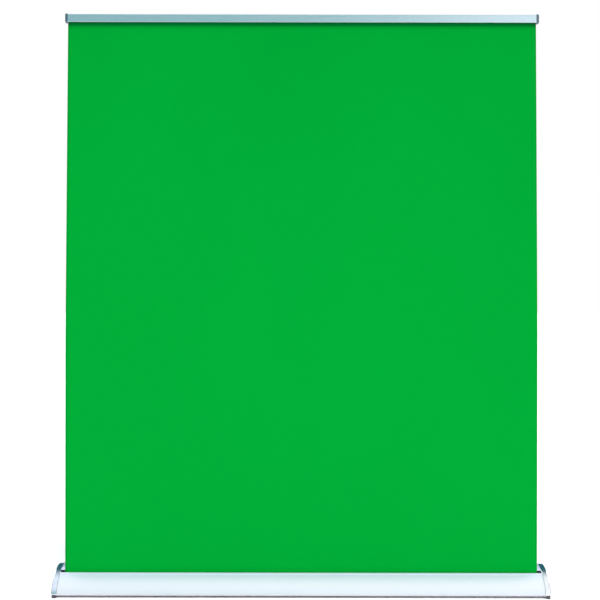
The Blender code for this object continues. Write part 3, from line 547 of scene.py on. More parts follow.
def front_section():
    lip = lip_points(SLOT_FRONT, -1)
    outer = [(-y, z) for y, z in half_outline(RIM, -SLOT_FRONT + BEAD_WIDTH + GROOVE_WIDTH)]
    inner = [(-y, z) for y, z in half_outline(RIM + WALL, -SLOT_FRONT)]
    flange = [(-FLANGE_END, UNDERSIDE + RIM), (-FLANGE_END, UNDERSIDE + RIM + WALL)]
    return lip + outer[1:] + flange + inner[::-1]


LIP_CLEAR = 0.002  # how far the outer face's points stay from the end of the slot's lip
EDGE_CLEAR = 0.001  # how far the inner face's points stay from the slot's edge


def crest_points(outline, reach):
    """The part of the outline's curve in front of the crest, less than reach away from it."""
    return [(-y, z) for y, z in outline[1:OUTLINE_STEPS + 1] if y < reach]


def rear_section():
    lip = lip_points(SLOT_REAR, 1)
    outer, inner = half_outline(RIM), half_outline(RIM + WALL)
    crest_front = crest_points(outer, -lip[-1][0] - LIP_CLEAR)
    inner_front = crest_points(inner, -SLOT_REAR - EDGE_CLEAR)
    corner = (SLOT_REAR, curve_point(angle_at(-SLOT_REAR, RIM + WALL), RIM + WALL)[1])
    flange = [(FLANGE_END, UNDERSIDE + RIM), (FLANGE_END, UNDERSIDE + RIM + WALL)]
    return lip + crest_front[::-1] + outer + flange + inner[::-1] + inner_front + [corner]


END_LOOP = 0.004  # from a bar's end to its first edge loop


def bar(section, end):
    """A section run along X from -end to end, with edge loops that keep the shading even."""
    places = [-end, -end + END_LOOP, -end / 2, 0.0, end / 2, end - END_LOOP, end]
    return skin([[(x, y, z) for y, z in section] for x in places])


POLE_HOLE_LOW, POLE_HOLE_HIGH = 0.060, 0.120  # heights between which the shell is bored


def front_shell():
    shell = bar(front_section(), SHELL_END)
    piece("front_shell_skin", shell, "satin_aluminium", "base", "front_shell")


def rear_shell():
    obj = new_object("rear_shell_skin", bar(rear_section(), SHELL_END))
    for side in SIDES:
        x, y = centre_of(f"pole_tube_1_{side}")
        cut(obj, cylinder((x, y, POLE_HOLE_LOW), (x, y, POLE_HOLE_HIGH), COLLAR_SLEEVE + GAP))
    dress(obj, "satin_aluminium", "base", "rear_shell")


CAP_ROUND = 0.0030
CAP_EDGE_STEPS = 7
PANEL_INSET = 0.0029  # from the cap's outline to its recess for the end plate
PLATE_RECESS = 0.0080  # how deep that recess is
STEM_RADIUS = 0.003
RECESS_HEIGHT = 0.0125  # each foot is let into a round recess in the cap's lower corner
RECESS_CLEARANCE = 0.0005
STEM_ABOVE = 0.001  # how far each bore runs past the foot stem's top
CAP_STEP = 0.0004  # the fine step where a cap meets the shells
DISH_INSET = 0.009
DISH_DEPTH = 0.0009
DISH_EDGE = ((-0.0015, 0.0), (-0.0006, 0.3), (0.0, 1.0), (0.004, 1.0))  # inward, share of the depth


def cap_stations():
    """(x, inset) pairs outward from the shells: a straight rim, a rounded edge and a dished face."""
    stations = [(CAP_INNER, CAP_STEP), (CAP_INNER + CAP_STEP, 0.0)]
    for i in range(CAP_EDGE_STEPS + 1):
        a = math.pi / 2 * i / CAP_EDGE_STEPS
        stations.append((CAP_OUTER - CAP_ROUND * (1 - math.sin(a)), CAP_ROUND * (1 - math.cos(a))))
    stations += [(CAP_OUTER - DISH_DEPTH * share, DISH_INSET + inward) for inward, share in DISH_EDGE]
    return stations


PANEL_STEPS = 24


def panel_outline(inset, half, bottom):
    """The crest's curve out to half on both sides, and straight down from there to bottom."""
    end = angle_at(half, inset)
    arc = [curve_point(end * i / PANEL_STEPS, inset) for i in range(PANEL_STEPS + 1)]
    arc[0] = (0.0, arc[0][1])
    right = arc + [(half, bottom)]
    return [(-y, z) for y, z in right[::-1]] + right[1:]


def end_cap(side, sign):
    """The cap's skin, with its recess for the end plate and its two bores for the foot stems."""
    rings = [[(sign * x, y, z) for y, z in whole_outline(inset)] for x, inset in cap_stations()]
    obj = new_object(f"end_cap_skin_{side}", skin(rings))
    plate_low, plate_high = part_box(f"end_plate_{side}")
    outline = panel_outline(PANEL_INSET, plate_high.y + GAP, plate_low.z - GAP)
    depths = (CAP_INNER - PLATE_RECESS / 2, CAP_INNER + PLATE_RECESS)
    cut(obj, skin([[(sign * x, y, z) for y, z in outline] for x in depths]))
    for end in ENDS:
        stem = f"foot_stem_{end}_{side}"
        pad_low, pad_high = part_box(f"foot_pad_{end}_{side}")
        wide, narrow = (pad_high.x - pad_low.x) / 2 + RECESS_CLEARANCE, STEM_RADIUS + GAP
        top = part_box(stem)[1].z + STEM_ABOVE
        profile = [(wide, 0.0), (wide, RECESS_HEIGHT), (narrow, RECESS_HEIGHT), (narrow, top)]
        cut(obj, closed_turn(centre_of(stem), profile, BORE_ROUND))
    dress(obj, "chrome", "base", f"end_cap_{side}")


# -------------------- cloth


CLOTH_SHARE = 0.6  # the sheet's thickness as a share of the CAD sheet's
CLOTH_COLUMNS = 150
CLOTH_ROWS = 230
CLOTH_INSIDE = 0.0004  # how far the sheet's sides stay inside the CAD sheet's
CLOTH_LENGTH = CLOTH_HIGH.z - CLOTH_LOW.z
CLOTH_CUT = 0.0015  # height of the slanting cut from the cloth's side to its tab
TAB_FOOT = RAIL_END_LOW - CLOTH_CUT
RAIL_SHADOW_DROP = 0.0115  # how far the painted shadow reaches below the rail
RAIL_SHADOW_FOOT = RAIL_LOW.z - RAIL_SHADOW_DROP
ROW_SPACE = 0.001  # closest that two rows of the sheet may lie
ROW_ABOVE_CUT = 0.00001  # the row just above the cut, where the tab is already narrow
CURL = 0.0022  # how far the cloth's sides curl
CURL_POWER = 14
FOLD = 0.00045  # height of the narrower waves
DRIFT = 0.00060  # height of the broad waves
HELD_FROM = 0.98  # share of the height from which the rail holds the cloth flat
HELD_POWER = 0.7


def half_width(z):
    """The cloth draws in a little towards the rail, and only its narrower tab enters the rail."""
    if z > TAB_FOOT:
        return CLOTH_TAB_HALF - CLOTH_INSIDE
    t = min(1.0, max(0.0, (z - CLOTH_WAIST) / (RAIL_END_LOW - CLOTH_WAIST)))
    return CLOTH_HALF - CLOTH_INSIDE - (CLOTH_HALF - CLOTH_TOP_HALF) * t


def ripple(u, v):
    """How far the taut cloth stands off its plane; u is -1 to 1 across and v is 0 to 1 up."""
    free = math.sin(math.pi * min(1.0, v * 1.02)) ** HELD_POWER if 0 < v < HELD_FROM else 0.0
    curl = CURL * abs(u) ** CURL_POWER
    folds = FOLD * math.sin(7.3 * u + 1.1) * math.cos(2.1 * v + 0.6 * u)
    drift = DRIFT * math.sin(2.2 * u - 0.7) * math.sin(3.4 * v + 0.4)
    return free * (folds + drift - curl)


def open_sheet(rows):
    """Rows of equally many points, joined by faces."""
    bm = bmesh.new()
    made = [[bm.verts.new(p) for p in row] for row in rows]
    for lower, upper in zip(made, made[1:]):
        for i in range(len(lower) - 1):
            bm.faces.new((lower[i], lower[i + 1], upper[i + 1], upper[i]))
    return bm


def backdrop_cloth():
    """One taut woven sheet from the roller, through the slot, up to the hem rod."""
    rows = []
    heights = [CLOTH_LOW.z + CLOTH_LENGTH * j / CLOTH_ROWS for j in range(CLOTH_ROWS + 1)]
    fixed = [RAIL_SHADOW_FOOT, TAB_FOOT - CLOTH_CUT, TAB_FOOT + ROW_ABOVE_CUT]
    heights = [z for z in heights if min(abs(z - f) for f in fixed) > ROW_SPACE]
    for z in sorted(heights + fixed):
        v = (z - CLOTH_LOW.z) / CLOTH_LENGTH
        row = []
        for i in range(CLOTH_COLUMNS + 1):
            u = 2 * i / CLOTH_COLUMNS - 1
            row.append((u * half_width(z), CLOTH_Y + ripple(u, v), z))
        rows.append(row)
    obj = new_object("backdrop_cloth", open_sheet(rows))
    dress(obj, "green_cloth", "base", "backdrop_fabric")
    # The cloth's faces just under the rail get a darker green: a painted shadow of the rail.
    obj.data.materials.append(MATERIALS["green_rail_shadow"])
    for face in obj.data.polygons:
        if face.center.z > RAIL_SHADOW_FOOT:
            face.material_index = 1
    solid = obj.modifiers.new("thickness", "SOLIDIFY")
    solid.thickness = CLOTH_THICK * CLOTH_SHARE
    solid.offset = 0.0
    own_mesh(obj)


TURNS = 3
TURN_STEPS = 72
TURNS_INNER_GAP = 0.0004
TURNS_OUTER_GAP = 0.0002


def cloth_turns():
    """The turns of cloth left on the roller, as one spiral strip."""
    inner = (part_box("roller_tube")[1].z - ROLLER_Z) + TURNS_INNER_GAP
    outer = ROLL_RADIUS - TURNS_OUTER_GAP
    half = CLOTH_HALF - CLOTH_INSIDE
    xs = [-half, -CLOTH_HALF / 2, 0.0, CLOTH_HALF / 2, half]
    rows = []
    for i in range(TURNS * TURN_STEPS + 1):
        t = i / (TURNS * TURN_STEPS)
        a = math.pi + 2 * math.pi * TURNS * (1 - t)
        r = inner + (outer - inner) * t
        y, z = ROLLER_Y + r * math.cos(a), ROLLER_Z + r * math.sin(a)
        rows.append([(x, y, z) for x in xs])
    obj = piece("cloth_turns", open_sheet(rows), "green_cloth", "roller", "fabric_roll")


# -------------------- poles


def body_of_stage(number, side):
    return "base" if number == 1 else f"stage_{number}_{side}"


TUBE_EDGE = 0.0004  # radius of the tubes' and locks' edges


def pole_tube(number, side):
    node = f"pole_tube_{number}_{side}"
    low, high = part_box(node)
    outer = (high.x - low.x) / 2
    profile = [(outer - POLE_WALL, low.z), (outer, low.z), (outer, high.z), (outer - POLE_WALL, high.z)]
    bm = turned(centre_of(node), rounded(profile, TUBE_EDGE))
    piece(f"tube_{number}_{side}", bm, "pole_aluminium", body_of_stage(number, side), node)


LOCK_FOOT = (  # out from the grip's radius, up from its foot
    (-0.0012, 0.0), (0.0, 0.0014), (0.0, 0.0034), (-0.0005, 0.0042), (-0.0001, 0.0052)
)
# out from the grip's radius, up from the step between the tubes
LOCK_STEP = ((-0.0001, -0.0004), (-0.0006, 0.0006), (0.0, 0.0014), (0.0, 0.0030))
LOCK_TOP = ((0.0042, -0.0022), (0.0032, 0.0), (0.0, 0.0))  # out from the upper tube, up from the top
LOCK_ROUND = 160
FLUTES = 20
FLUTE_DEPTH = 0.055  # as a share of the radius
FLUTE_START, FLUTE_STOP = 0.0046, 0.0002  # up from the grip's foot, and up from the step
FLUTE_INSIDE = 0.002  # out from the bore, where the flutes begin


def twist_lock(number, side):
    """A fluted grip ring over the step between two tubes."""
    node = f"twist_lock_{number}_{side}"
    low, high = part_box(node)
    outer = (high.x - low.x) / 2
    x = centre_of(node)[0]
    wide, narrow = tube_radius(number, side, x) + GAP, tube_radius(number + 1, side, x) + GAP
    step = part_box(f"pole_tube_{number}_{side}")[1].z
    profile = [(wide, low.z)]
    profile += [(outer + out, low.z + up) for out, up in LOCK_FOOT]
    profile += [(outer + out, step + up) for out, up in LOCK_STEP]
    profile += [(narrow + out, high.z + up) for out, up in LOCK_TOP]
    profile += [(narrow, step + GAP), (wide, step + GAP)]

    def grip(angle, r, z):
        on_grip = low.z + FLUTE_START < z < step + FLUTE_STOP and r > wide + FLUTE_INSIDE
        return 1.0 - (FLUTE_DEPTH * max(0.0, math.cos(FLUTES * angle)) ** 2 if on_grip else 0.0)

    bm = turned(centre_of(node), rounded(profile, TUBE_EDGE, 2), LOCK_ROUND, grip)
    piece(f"lock_grip_{number}_{side}", bm, "black_plastic", f"lock_{number}_{side}", node)


# inward from the collar flange's radius, up from its seat
COLLAR_EDGE = ((0.0, 0.0), (0.0, 0.0025), (0.0015, 0.0045))
COLLAR_SLOPE = 0.0050  # how far the flange has drawn in at the top
COLLAR_ROUNDING = 0.0006


def socket_collar(side):
    node = f"socket_collar_{side}"
    low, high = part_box(node)
    bore = tube_radius(1, side, centre_of(node)[0]) + GAP
    outer = (high.x - low.x) / 2
    seat = high.z - COLLAR_RISE
    profile = [(bore, low.z), (COLLAR_SLEEVE, low.z), (COLLAR_SLEEVE, seat)]
    profile += [(outer - inward, seat + up) for inward, up in COLLAR_EDGE]
    profile += [(outer - COLLAR_SLOPE, high.z), (bore, high.z)]
    bm = turned(centre_of(node), rounded(profile, COLLAR_ROUNDING))
    piece(f"collar_{side}", bm, "black_plastic", "base", node)


def poles():
    for side in SIDES:
        socket_collar(side)
        for number in (1, 2, 3, 4):
            pole_tube(number, side)
        for number in (1, 2, 3):
            twist_lock(number, side)


# -------------------- rail


def rounded_box(centre, low, width, height, radius, steps=8):
    """A rectangle with rounded corners as (across, up) points."""
    corners = (
        (centre + width / 2 - radius, low + radius, -90),
        (centre + width / 2 - radius, low + height - radius, 0),
        (centre - width / 2 + radius, low + height - radius, 90),
        (centre - width / 2 + radius, low + radius, 180),
    )
    points = []
    for across, up, first in corners:
        angles = [math.radians(first + 90 * i / steps) for i in range(steps + 1)]
        points += [(across + radius * math.cos(a), up + radius * math.sin(a)) for a in angles]
    return points


SCREW_BORE = 0.0018
HOLE_ROUND = 24
RAIL_WALL = 0.0015
RAIL_SLOT = 0.0024
RAIL_CORNER = 0.0035
RAIL_EDGE = 0.0012  # radius of the rail's outer edges
RAIL_GROOVE = 0.0008  # depth of the fine groove along the front
RAIL_GROOVE_LOW, RAIL_GROOVE_HIGH = 0.0040, 0.0016  # its edges, below the rail's top


def rail_section():
    """The rail's wall as one C, open along the slot in its underside."""
    depth, height = RAIL_HIGH.y - RAIL_LOW.y, RAIL_HIGH.z - RAIL_LOW.z
    outer = rounded_box(CLOTH_Y, RAIL_LOW.z, depth, height, RAIL_EDGE)
    front, sunk = CLOTH_Y - depth / 2, CLOTH_Y - depth / 2 + RAIL_GROOVE
    low, high = RAIL_HIGH.z - RAIL_GROOVE_LOW, RAIL_HIGH.z - RAIL_GROOVE_HIGH
    bend = RAIL_GROOVE / 2
    groove = [(front, high), (sunk, high - bend), (sunk, low + bend), (front, low)]
    upper = 3 * len(outer) // 4
    outer = outer[:upper] + groove + outer[upper:]
    depth, height = depth - 2 * RAIL_WALL, height - 2 * RAIL_WALL
    inner = rounded_box(CLOTH_Y, RAIL_LOW.z + RAIL_WALL, depth, height, RAIL_CORNER - RAIL_WALL)
    near, far = CLOTH_Y + RAIL_SLOT / 2, CLOTH_Y - RAIL_SLOT / 2
    outside = [(near, RAIL_LOW.z)] + outer + [(far, RAIL_LOW.z)]
    return outside + [(far, RAIL_LOW.z + RAIL_WALL)] + inner[::-1] + [(near, RAIL_LOW.z + RAIL_WALL)]


def top_rail():
    obj = new_object("top_rail_skin", bar(rail_section(), RAIL_HIGH.x))
    for side in SIDES:
        middle = centre_of(f"rail_bracket_{side}")[0]
        screw_x, z = screw_place(side)
        across = abs(screw_x - middle)
        for x in (middle - across, middle + across):
            ends = [(x, RAIL_HIGH.y + reach, z) for reach in (-2 * RAIL_WALL, 2 * RAIL_WALL)]
            cut(obj, cylinder(*ends, SCREW_BORE, HOLE_ROUND))
    dress(obj, "rail_aluminium", "rail", "top_rail")
    # Painted shade: the rail's underside faces along the slot get the dark material.
    obj.data.materials.append(MATERIALS["dark_gloss"])  # painted shade: a dark strip along the underside
    for face in obj.data.polygons:
        if face.normal.z < -0.99 and face.center.z < RAIL_LOW.z + RAIL_WALL / 2:
            face.material_index = 1


END_CORNER = 0.0055
END_EDGE = 0.0030  # radius round the outer face
END_EDGE_STEPS = 8
END_STEP = 0.0006  # the fine step where an end meets the rail
TONGUE_WIDTH = 0.017
TONGUE_REACH = 0.020  # into the rail
TONGUE_ROOT = 0.0015  # into the moulded end
TONGUE_CORNER = 0.0015
TONGUE_ABOVE_ROD = 0.0015


def rail_end(side, sign):
    """A moulded end: rounded all round its outer face, with a fine step where it meets the rail."""
    low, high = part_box(f"rail_end_{side}")
    outer = max(abs(low.x), abs(high.x))
    start = RAIL_HIGH.x + GAP
    depth, height = high.y - low.y, high.z - low.z
    stations = [(start, END_STEP), (start + END_STEP, 0.0)]
    for i in range(END_EDGE_STEPS + 1):
        a = math.pi / 2 * i / END_EDGE_STEPS
        stations.append((outer - END_EDGE * (1 - math.sin(a)), END_EDGE * (1 - math.cos(a))))
    rings = []
    for x, inset in stations:
        size = (depth - 2 * inset, height - 2 * inset)
        outline = rounded_box(CLOTH_Y, low.z + inset, *size, END_CORNER - inset)
        rings.append([(sign * x, y, z) for y, z in outline])
    obj = new_object(f"rail_end_skin_{side}", skin(rings))
    tongue_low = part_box("hem_rod")[1].z + TONGUE_ABOVE_ROD
    tongue_high = RAIL_HIGH.z - RAIL_WALL - GAP
    size = (TONGUE_WIDTH, tongue_high - tongue_low)
    outline = rounded_box(CLOTH_Y, tongue_low, *size, TONGUE_CORNER, 3)
    reach = (RAIL_HIGH.x - TONGUE_REACH, start + TONGUE_ROOT)
    cut(obj, skin([[(sign * x, y, z) for y, z in outline] for x in reach]), "UNION")
    dress(obj, "dark_gloss", "rail", f"rail_end_{side}")


PLATE = 0.003  # thickness of the bracket's flange
PLATE_CORNER = 0.0030
PLATE_EDGE = ((0.0008, 0.0), (0.0002, 0.0003), (0.0, 0.0009))  # short of the flange's back, inset
ARM_BELOW, ARM_ABOVE = 0.016, 0.008  # down and up from the top of the pole's head
ARM_ROOT, ARM_HALF = 0.0150, 0.0125  # half widths at the flange and from there to the hub
ARM_SINK = 0.001  # how far the arm starts inside the flange
ARM_CORNER = 0.0015
HUB_FOOT = ((0.0012, -0.0002), (0.0, 0.0010))  # inward, up from the arm's underside
HUB_TOP = ((0.0, -0.0020), (0.0006, -0.0006), (0.0020, 0.0002))  # inward, up from the arm's top
CUP_RADIUS = 0.0074
CUP_BELOW = 0.010  # how far the cup's cutter starts below the arm
HOLE_REACH = 0.003  # how far the screw hole's cutter passes the flange on both sides
PEG_RADIUS = 0.0015
PEG_REACH = 0.0028  # into the rail
PEG_ROOT = 0.001  # into the flange


def along_y(stations):
    """A solid through outlines of (across, up) points, each with its place along Y."""
    return skin([[(across, place, up) for across, up in outline] for place, outline in stations])


def screw_place(side):
    """The bracket screw's axis, as (x, z)."""
    low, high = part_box(f"bracket_screw_{side}")
    return (low.x + high.x) / 2, (low.z + high.z) / 2


def rail_bracket(side):
    """A moulded bracket: a flange on the rail, an arm, and a hub with a cup over the pole's head."""
    low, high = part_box(f"rail_bracket_{side}")
    head_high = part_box(f"pole_head_{side}")[1]
    x, y = centre_of(f"pole_head_{side}")
    face = RAIL_HIGH.y + GAP
    back = face + PLATE
    width, height = high.x - low.x, high.z - low.z
    stations = []
    for place, inset in [(face, 0.0)] + [(back - short, inset) for short, inset in PLATE_EDGE]:
        size = (width - 2 * inset, height - 2 * inset)
        stations.append((place, rounded_box(x, low.z + inset, *size, PLATE_CORNER - inset)))
    obj = new_object(f"rail_bracket_skin_{side}", along_y(stations))
    arm_low, arm_high = head_high.z - ARM_BELOW, head_high.z + ARM_ABOVE
    stations = []
    for place, half in ((face + ARM_SINK, ARM_ROOT), (back + ARM_SINK, ARM_HALF), (y, ARM_HALF)):
        stations.append((place, rounded_box(x, arm_low, 2 * half, arm_high - arm_low, ARM_CORNER)))
    cut(obj, along_y(stations), "UNION")
    hub_radius = high.y - y
    profile = [(hub_radius - inward, arm_low + up) for inward, up in HUB_FOOT]
    profile += [(hub_radius - inward, arm_high + up) for inward, up in HUB_TOP]
    cut(obj, closed_turn((x, y), profile), "UNION")
    cut(obj, cylinder((x, y, arm_low - CUP_BELOW), (x, y, head_high.z + GAP), CUP_RADIUS))
    screw_x, screw_z = screw_place(side)
    ends = [(screw_x, place, screw_z) for place in (face - HOLE_REACH, back + HOLE_REACH)]
    cut(obj, cylinder(*ends, SCREW_BORE, HOLE_ROUND))
    ends = [(2 * x - screw_x, place, screw_z) for place in (RAIL_HIGH.y - PEG_REACH, face + PEG_ROOT)]
    cut(obj, cylinder(*ends, PEG_RADIUS, HOLE_ROUND), "UNION")
    dress(obj, "black_plastic", "rail", f"rail_bracket_{side}")


HEAD_RISE = 0.0165  # from the head's shoulder to its top
PLUG_FOOT = ((0.0006, 0.0), (0.0, 0.0008))  # inward, up from the plug's foot
HEAD_FOOT = ((0.0015, GAP), (0.0006, 0.0008), (0.0, 0.0022))  # inward, up from the tube's top
HEAD_SHOULDER = ((0.0, 0.0016), (0.0004, 0.0006), (0.0012, 0.0))  # inward, down from the shoulder
PIN_FOOT = ((0.0072, 0.0), (0.0070, 0.0004))  # radius, up from the shoulder
PIN_TOP = ((0.0070, 0.0014), (0.0067, 0.0004), (0.0058, 0.0))  # radius, down from the top


def pole_head(side):
    """A plug in the top tube, a collar over it and a pin that enters the bracket's cup."""
    node = f"pole_head_{side}"
    low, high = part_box(node)
    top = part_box(f"pole_tube_4_{side}")[1].z
    shoulder = high.z - HEAD_RISE
    plug = tube_radius(4, side, centre_of(node)[0]) - POLE_WALL - GAP
    outer = (high.x - low.x) / 2
    profile = [(plug - inward, low.z + up) for inward, up in PLUG_FOOT]
    profile.append((plug, top + GAP))
    profile += [(outer - inward, top + up) for inward, up in HEAD_FOOT]
    profile += [(outer - inward, shoulder - down) for inward, down in HEAD_SHOULDER]
    profile += [(radius, shoulder + up) for radius, up in PIN_FOOT]
    profile += [(radius, high.z - down) for radius, down in PIN_TOP]
    bm = closed_turn(centre_of(node), profile)
    piece(f"pole_head_skin_{side}", bm, "black_plastic", f"stage_4_{side}", node)


# -------------------- feet and screws


PAD_RIBS = 4
PAD_EDGE = 0.0006  # radius of the pad's lower edge
PAD_EDGE_STEPS = 6
PAD_GROOVE = ((-0.0005, 0.0), (-0.0002, 0.0004), (0.0002, 0.0004), (0.0005, 0.0))  # along, deep
PAD_TOP = ((0.0, 0.0007), (0.0002, 0.0002), (0.0007, 0.0))  # inward, down from the top
DISC_FOOT = ((0.0003, 0.0), (0.0, 0.0001))  # inward, up from the underside of the stem's flange
DISC_TOP = ((0.0, 0.0001), (0.0002, 0.0))  # inward, down from the flange's top
STEM_TIP = ((0.0004, 0.0006), (0.0010, 0.0))  # inward, down from the top
STEM_ROUND = 32
THREAD_STOP = 0.0020  # how far below the stem's top the last turn may start
THREAD_PITCH = 0.00125
THREAD_TURN = ((0.0002, 0.0004), (0.0005, 0.0), (0.0007, 0.0), (0.0010, 0.0004))  # along, deep


def foot(end, side):
    """A ribbed rubber pad on a threaded stem with a thin flange."""
    pad, stem = f"foot_pad_{end}_{side}", f"foot_stem_{end}_{side}"
    low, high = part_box(pad)
    radius = (high.x - low.x) / 2
    angles = [math.pi / 2 * (i / PAD_EDGE_STEPS - 1) for i in range(PAD_EDGE_STEPS + 1)]
    profile = [
        (radius - PAD_EDGE * (1 - math.cos(a)), low.z + PAD_EDGE * (1 + math.sin(a))) for a in angles
    ]
    for i in range(PAD_RIBS):
        z = low.z + (high.z - low.z) * (i + 1) / (PAD_RIBS + 1)
        profile += [(radius - deep, z + along) for along, deep in PAD_GROOVE]
    profile += [(radius - inward, high.z - down) for inward, down in PAD_TOP]
    bm = closed_turn(centre_of(pad), profile)
    piece(f"foot_rubber_{end}_{side}", bm, "rubber", pad, pad)
    low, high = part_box(stem)
    flange_high = RECESS_HEIGHT - GAP
    edge = (high.x - low.x) / 2
    profile = [(edge - inward, low.z + up) for inward, up in DISC_FOOT]
    profile += [(edge - inward, flange_high - down) for inward, down in DISC_TOP]
    z = flange_high
    while z < high.z - THREAD_STOP:
        profile += [(STEM_RADIUS - deep, z + along) for along, deep in THREAD_TURN]
        z += THREAD_PITCH
    profile += [(STEM_RADIUS - inward, high.z - down) for inward, down in STEM_TIP]
    bm = closed_turn(centre_of(stem), profile, STEM_ROUND)
    piece(f"foot_thread_{end}_{side}", bm, "steel", stem, stem)


HEX_REACH = 0.0013  # from a screw's axis to the corners of its hexagon socket
HEX_DEPTH = 0.0012
TIP_INSET, TIP_HEIGHT = 0.0004, 0.0006  # the bevel at the screw's tip
SCREW_RADIUS = 0.0015
HEAD_HEIGHT = 0.0024
DOME_STEPS = 8
SCREW_ROUND = 36


def socket_screw(node, body, axis, outward):
    """The CAD screw's shape, finer, with a domed head and a hexagon socket. outward is the head's
    direction along the axis, 1 or -1."""
    low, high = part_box(node)
    middle = (low + high) / 2
    index = "XYZ".index(axis)
    tip, top = (low[index], high[index]) if outward > 0 else (high[index], low[index])
    head_radius = (high[(index + 1) % 3] - low[(index + 1) % 3]) / 2
    seat = top - outward * HEAD_HEIGHT
    stations = [
        (SCREW_RADIUS - TIP_INSET, tip),
        (SCREW_RADIUS, tip + outward * TIP_HEIGHT),
        (SCREW_RADIUS, seat),
        (head_radius, seat),
    ]
    for i in range(1, DOME_STEPS + 1):
        a = math.pi / 2 * i / DOME_STEPS
        r = head_radius * (1 + math.cos(a)) / 2
        stations.append((r, seat + outward * HEAD_HEIGHT * math.sin(a)))

    def at(u, v, along):
        place = [0.0, 0.0, 0.0]
        place[index] = along
        place[(index + 1) % 3] = middle[(index + 1) % 3] + u
        place[(index + 2) % 3] = middle[(index + 2) % 3] + v
        return tuple(place)

    angles = round_angles(SCREW_ROUND)
    rings = [[at(r * math.cos(a), r * math.sin(a), along) for a in angles] for r, along in stations]
    obj = new_object(node + "_skin", skin(rings))
    corners = [math.pi / 3 * i for i in range(6)]
    depths = (top - outward * HEX_DEPTH, top + outward * HEX_DEPTH)
    around = [(HEX_REACH * math.cos(a), HEX_REACH * math.sin(a)) for a in corners]
    cut(obj, skin([[at(u, v, along) for u, v in around] for along in depths]))
    dress(obj, "steel", body, node)


# -------------------- CAD nodes that keep their shape


def dress_frame():
    """Every CAD node that still shows gets smooth shading and its slot's material."""
    slots = {row["node"]: row["material_slot"] for row in frame["record"]["subparts"]}
    for name, obj in frame["nodes"].items():
        if obj.hide_render:
            continue
        smooth(obj.data, degrees=35)
        obj.data.materials.clear()
        obj.data.materials.append(MATERIALS[slots[name]])


# -------------------- studio


CAMERA_PLACE = (-0.006, -4.128, 1.128)
CAMERA_LENS = 63.5
CAMERA_ROLL = -0.0018


def camera():
    data = bpy.data.cameras.new("camera")
    data.lens = CAMERA_LENS
    data.sensor_width = 36.0
    made = bpy.data.objects.new("camera", data)
    made.location = CAMERA_PLACE
    made.rotation_euler = (math.radians(90), CAMERA_ROLL, 0)
    bpy.context.scene.collection.objects.link(made)
    bpy.context.scene.camera = made


FLOOR_REACH = 90.0
FLOOR_BOUNCE = (0.72, 0.66, 0.70)  # the floor as the object sees it
FLOOR_TONES = ((0.90, 0.87, 0.87), (0.92, 0.89, 0.89))


def floor():
    bm = bmesh.new()
    corners = [(-1, -1), (1, -1), (1, 1), (-1, 1)]
    bm.faces.new([bm.verts.new((FLOOR_REACH * x, FLOOR_REACH * y, 0.0)) for x, y in corners])
    made, tree, shader = new_material("pale_floor", 0.0, Roughness=0.8, Specular_IOR_Level=0.1)
    tone = stretched_noise(tree, (2.0, 2.0, 2.0), 3.0)
    pale = two_tones(tree, tone, *FLOOR_TONES)
    rays = add_node(tree, "ShaderNodeLightPath")
    seen = blend_colours(tree, rays.outputs["Is Camera Ray"], FLOOR_BOUNCE, pale)
    tree.links.new(seen, shader.inputs["Base Color"])
    obj = new_object("floor", bm)
    obj.data.materials.append(made)


LIGHT_FAR = 5.0


def place_light(name, data, place, turn, mirrored):
    obj = bpy.data.objects.new(name, data)
    obj.location = place
    obj.rotation_euler = turn
    obj.visible_glossy = mirrored
    bpy.context.scene.collection.objects.link(obj)


def high_light(name, azimuth, elevation, strength, spread, colour, mirrored=True):
    """A broad distant light. Azimuth 0 is in front and 90 to the right; spread is its width in the
    sky, in degrees. One that isn't mirrored leaves the reflections to the studio's walls."""
    data = bpy.data.lights.new(name, "SUN")
    data.energy = strength
    data.angle = math.radians(spread)
    data.color = colour
    turn, lift = math.radians(azimuth), math.radians(elevation)
    flat = math.cos(lift)
    towards = Vector((math.sin(turn) * flat, -math.cos(turn) * flat, math.sin(lift)))
    facing = (-towards).to_track_quat("-Z", "Y").to_euler()
    place_light(name, data, LIGHT_FAR * towards, facing, mirrored)


def low_strip(power, place, width, height, colour):
    """A wide strip light low in front, facing the cloth; it isn't mirrored either."""
    data = bpy.data.lights.new("strip", "AREA")
    data.shape = "RECTANGLE"
    data.energy = power
    data.size, data.size_y = width, height
    data.color = colour
    place_light("strip", data, place, (math.radians(90), 0.0, 0.0), False)


WALL_LEFT, WALL_RIGHT = (0.255, 0.51, 0.54), (1.18, 1.22, 1.34)  # in front of the object
CEILING_LEFT, CEILING_RIGHT = (0.88, 0.96, 1.12), (1.04, 1.07, 1.08)
WALL_BEHIND = (0.02, 0.12, 0.15)
WALL_FLANKS = (0.10, 0.13, 0.16)
CEILING_TILT = -0.3  # how much lower the ceiling's light reaches in front
WHITE = (1.0, 1.0, 1.0)


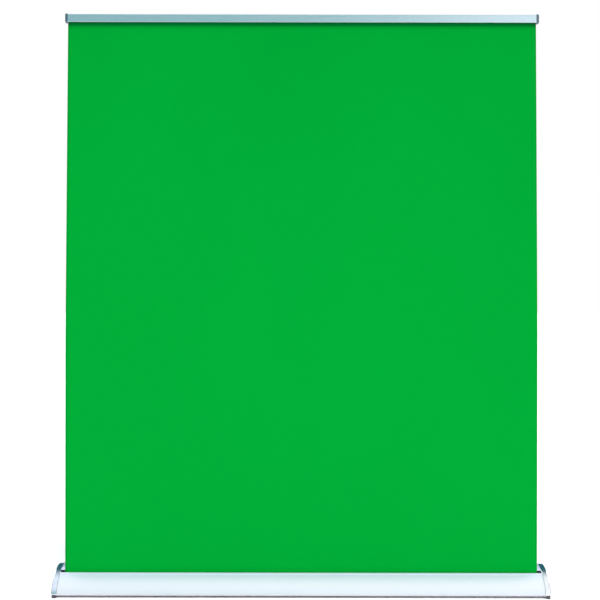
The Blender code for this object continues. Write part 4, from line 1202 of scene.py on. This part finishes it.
def studio_world():
    """The studio as reflections show it: bright overhead and in front on the right, dim and cool
    elsewhere. The camera itself sees plain white."""
    world = bpy.data.worlds.new("studio")
    bpy.context.scene.world = world
    world.use_nodes = True
    tree = world.node_tree
    tree.nodes.clear()
    axes = object_axes(tree, "Generated")
    across = ramp_between(tree, axes["X"], 0.03, 0.22)
    front = blend_colours(tree, across, WALL_LEFT, WALL_RIGHT)
    above = blend_colours(tree, across, CEILING_LEFT, CEILING_RIGHT)
    ahead = ramp_between(tree, axes["Y"], 0.35, -0.35)
    facing = blend_colours(tree, ahead, WALL_BEHIND, front)
    outward = add_node(tree, "ShaderNodeMath", operation="ABSOLUTE")
    tree.links.new(axes["X"], outward.inputs[0])
    flank = ramp_between(tree, outward.outputs[0], 0.50, 0.80)
    around = blend_colours(tree, flank, facing, WALL_FLANKS)
    tilted = add_node(tree, "ShaderNodeMath", operation="MULTIPLY_ADD")
    tilted.inputs[1].default_value = CEILING_TILT
    tree.links.new(axes["Y"], tilted.inputs[0])
    tree.links.new(axes["Z"], tilted.inputs[2])
    height = ramp_between(tree, tilted.outputs[0], 0.60, 1.0)
    sky = blend_colours(tree, height, around, above)
    rays = add_node(tree, "ShaderNodeLightPath")
    seen = blend_colours(tree, rays.outputs["Is Camera Ray"], sky, WHITE)
    background = add_node(tree, "ShaderNodeBackground")
    output = add_node(tree, "ShaderNodeOutputWorld")
    tree.links.new(seen, background.inputs["Color"])
    tree.links.new(background.outputs["Background"], output.inputs["Surface"])


def studio():
    bpy.context.scene.view_settings.view_transform = "Standard"
    camera()
    floor()
    studio_world()
    high_light("key", 14, 62, 2.3, 14, (1.0, 1.0, 0.99), mirrored=False)
    low_strip(40.0, (0.15, -3.0, 0.42), 5.2, 0.7, (1.0, 0.99, 1.0))
    high_light("back_left", 232, 38, 1.1, 30, (0.96, 0.99, 1.0))
    high_light("back_right", 122, 38, 0.9, 30, (0.96, 0.99, 1.0))


# -------------------- the whole picture


front_shell()
rear_shell()
for side, sign in zip(SIDES, SIGNS):
    end_cap(side, sign)
backdrop_cloth()
cloth_turns()
poles()
top_rail()
for side, sign in zip(SIDES, SIGNS):
    rail_end(side, sign)
    rail_bracket(side)
    pole_head(side)
    socket_screw(f"bracket_screw_{side}", "rail", "Y", 1)
    for end in ENDS:
        foot(end, side)
        socket_screw(f"plate_screw_{end}_{side}", "base", "X", sign)
dress_frame()
studio()
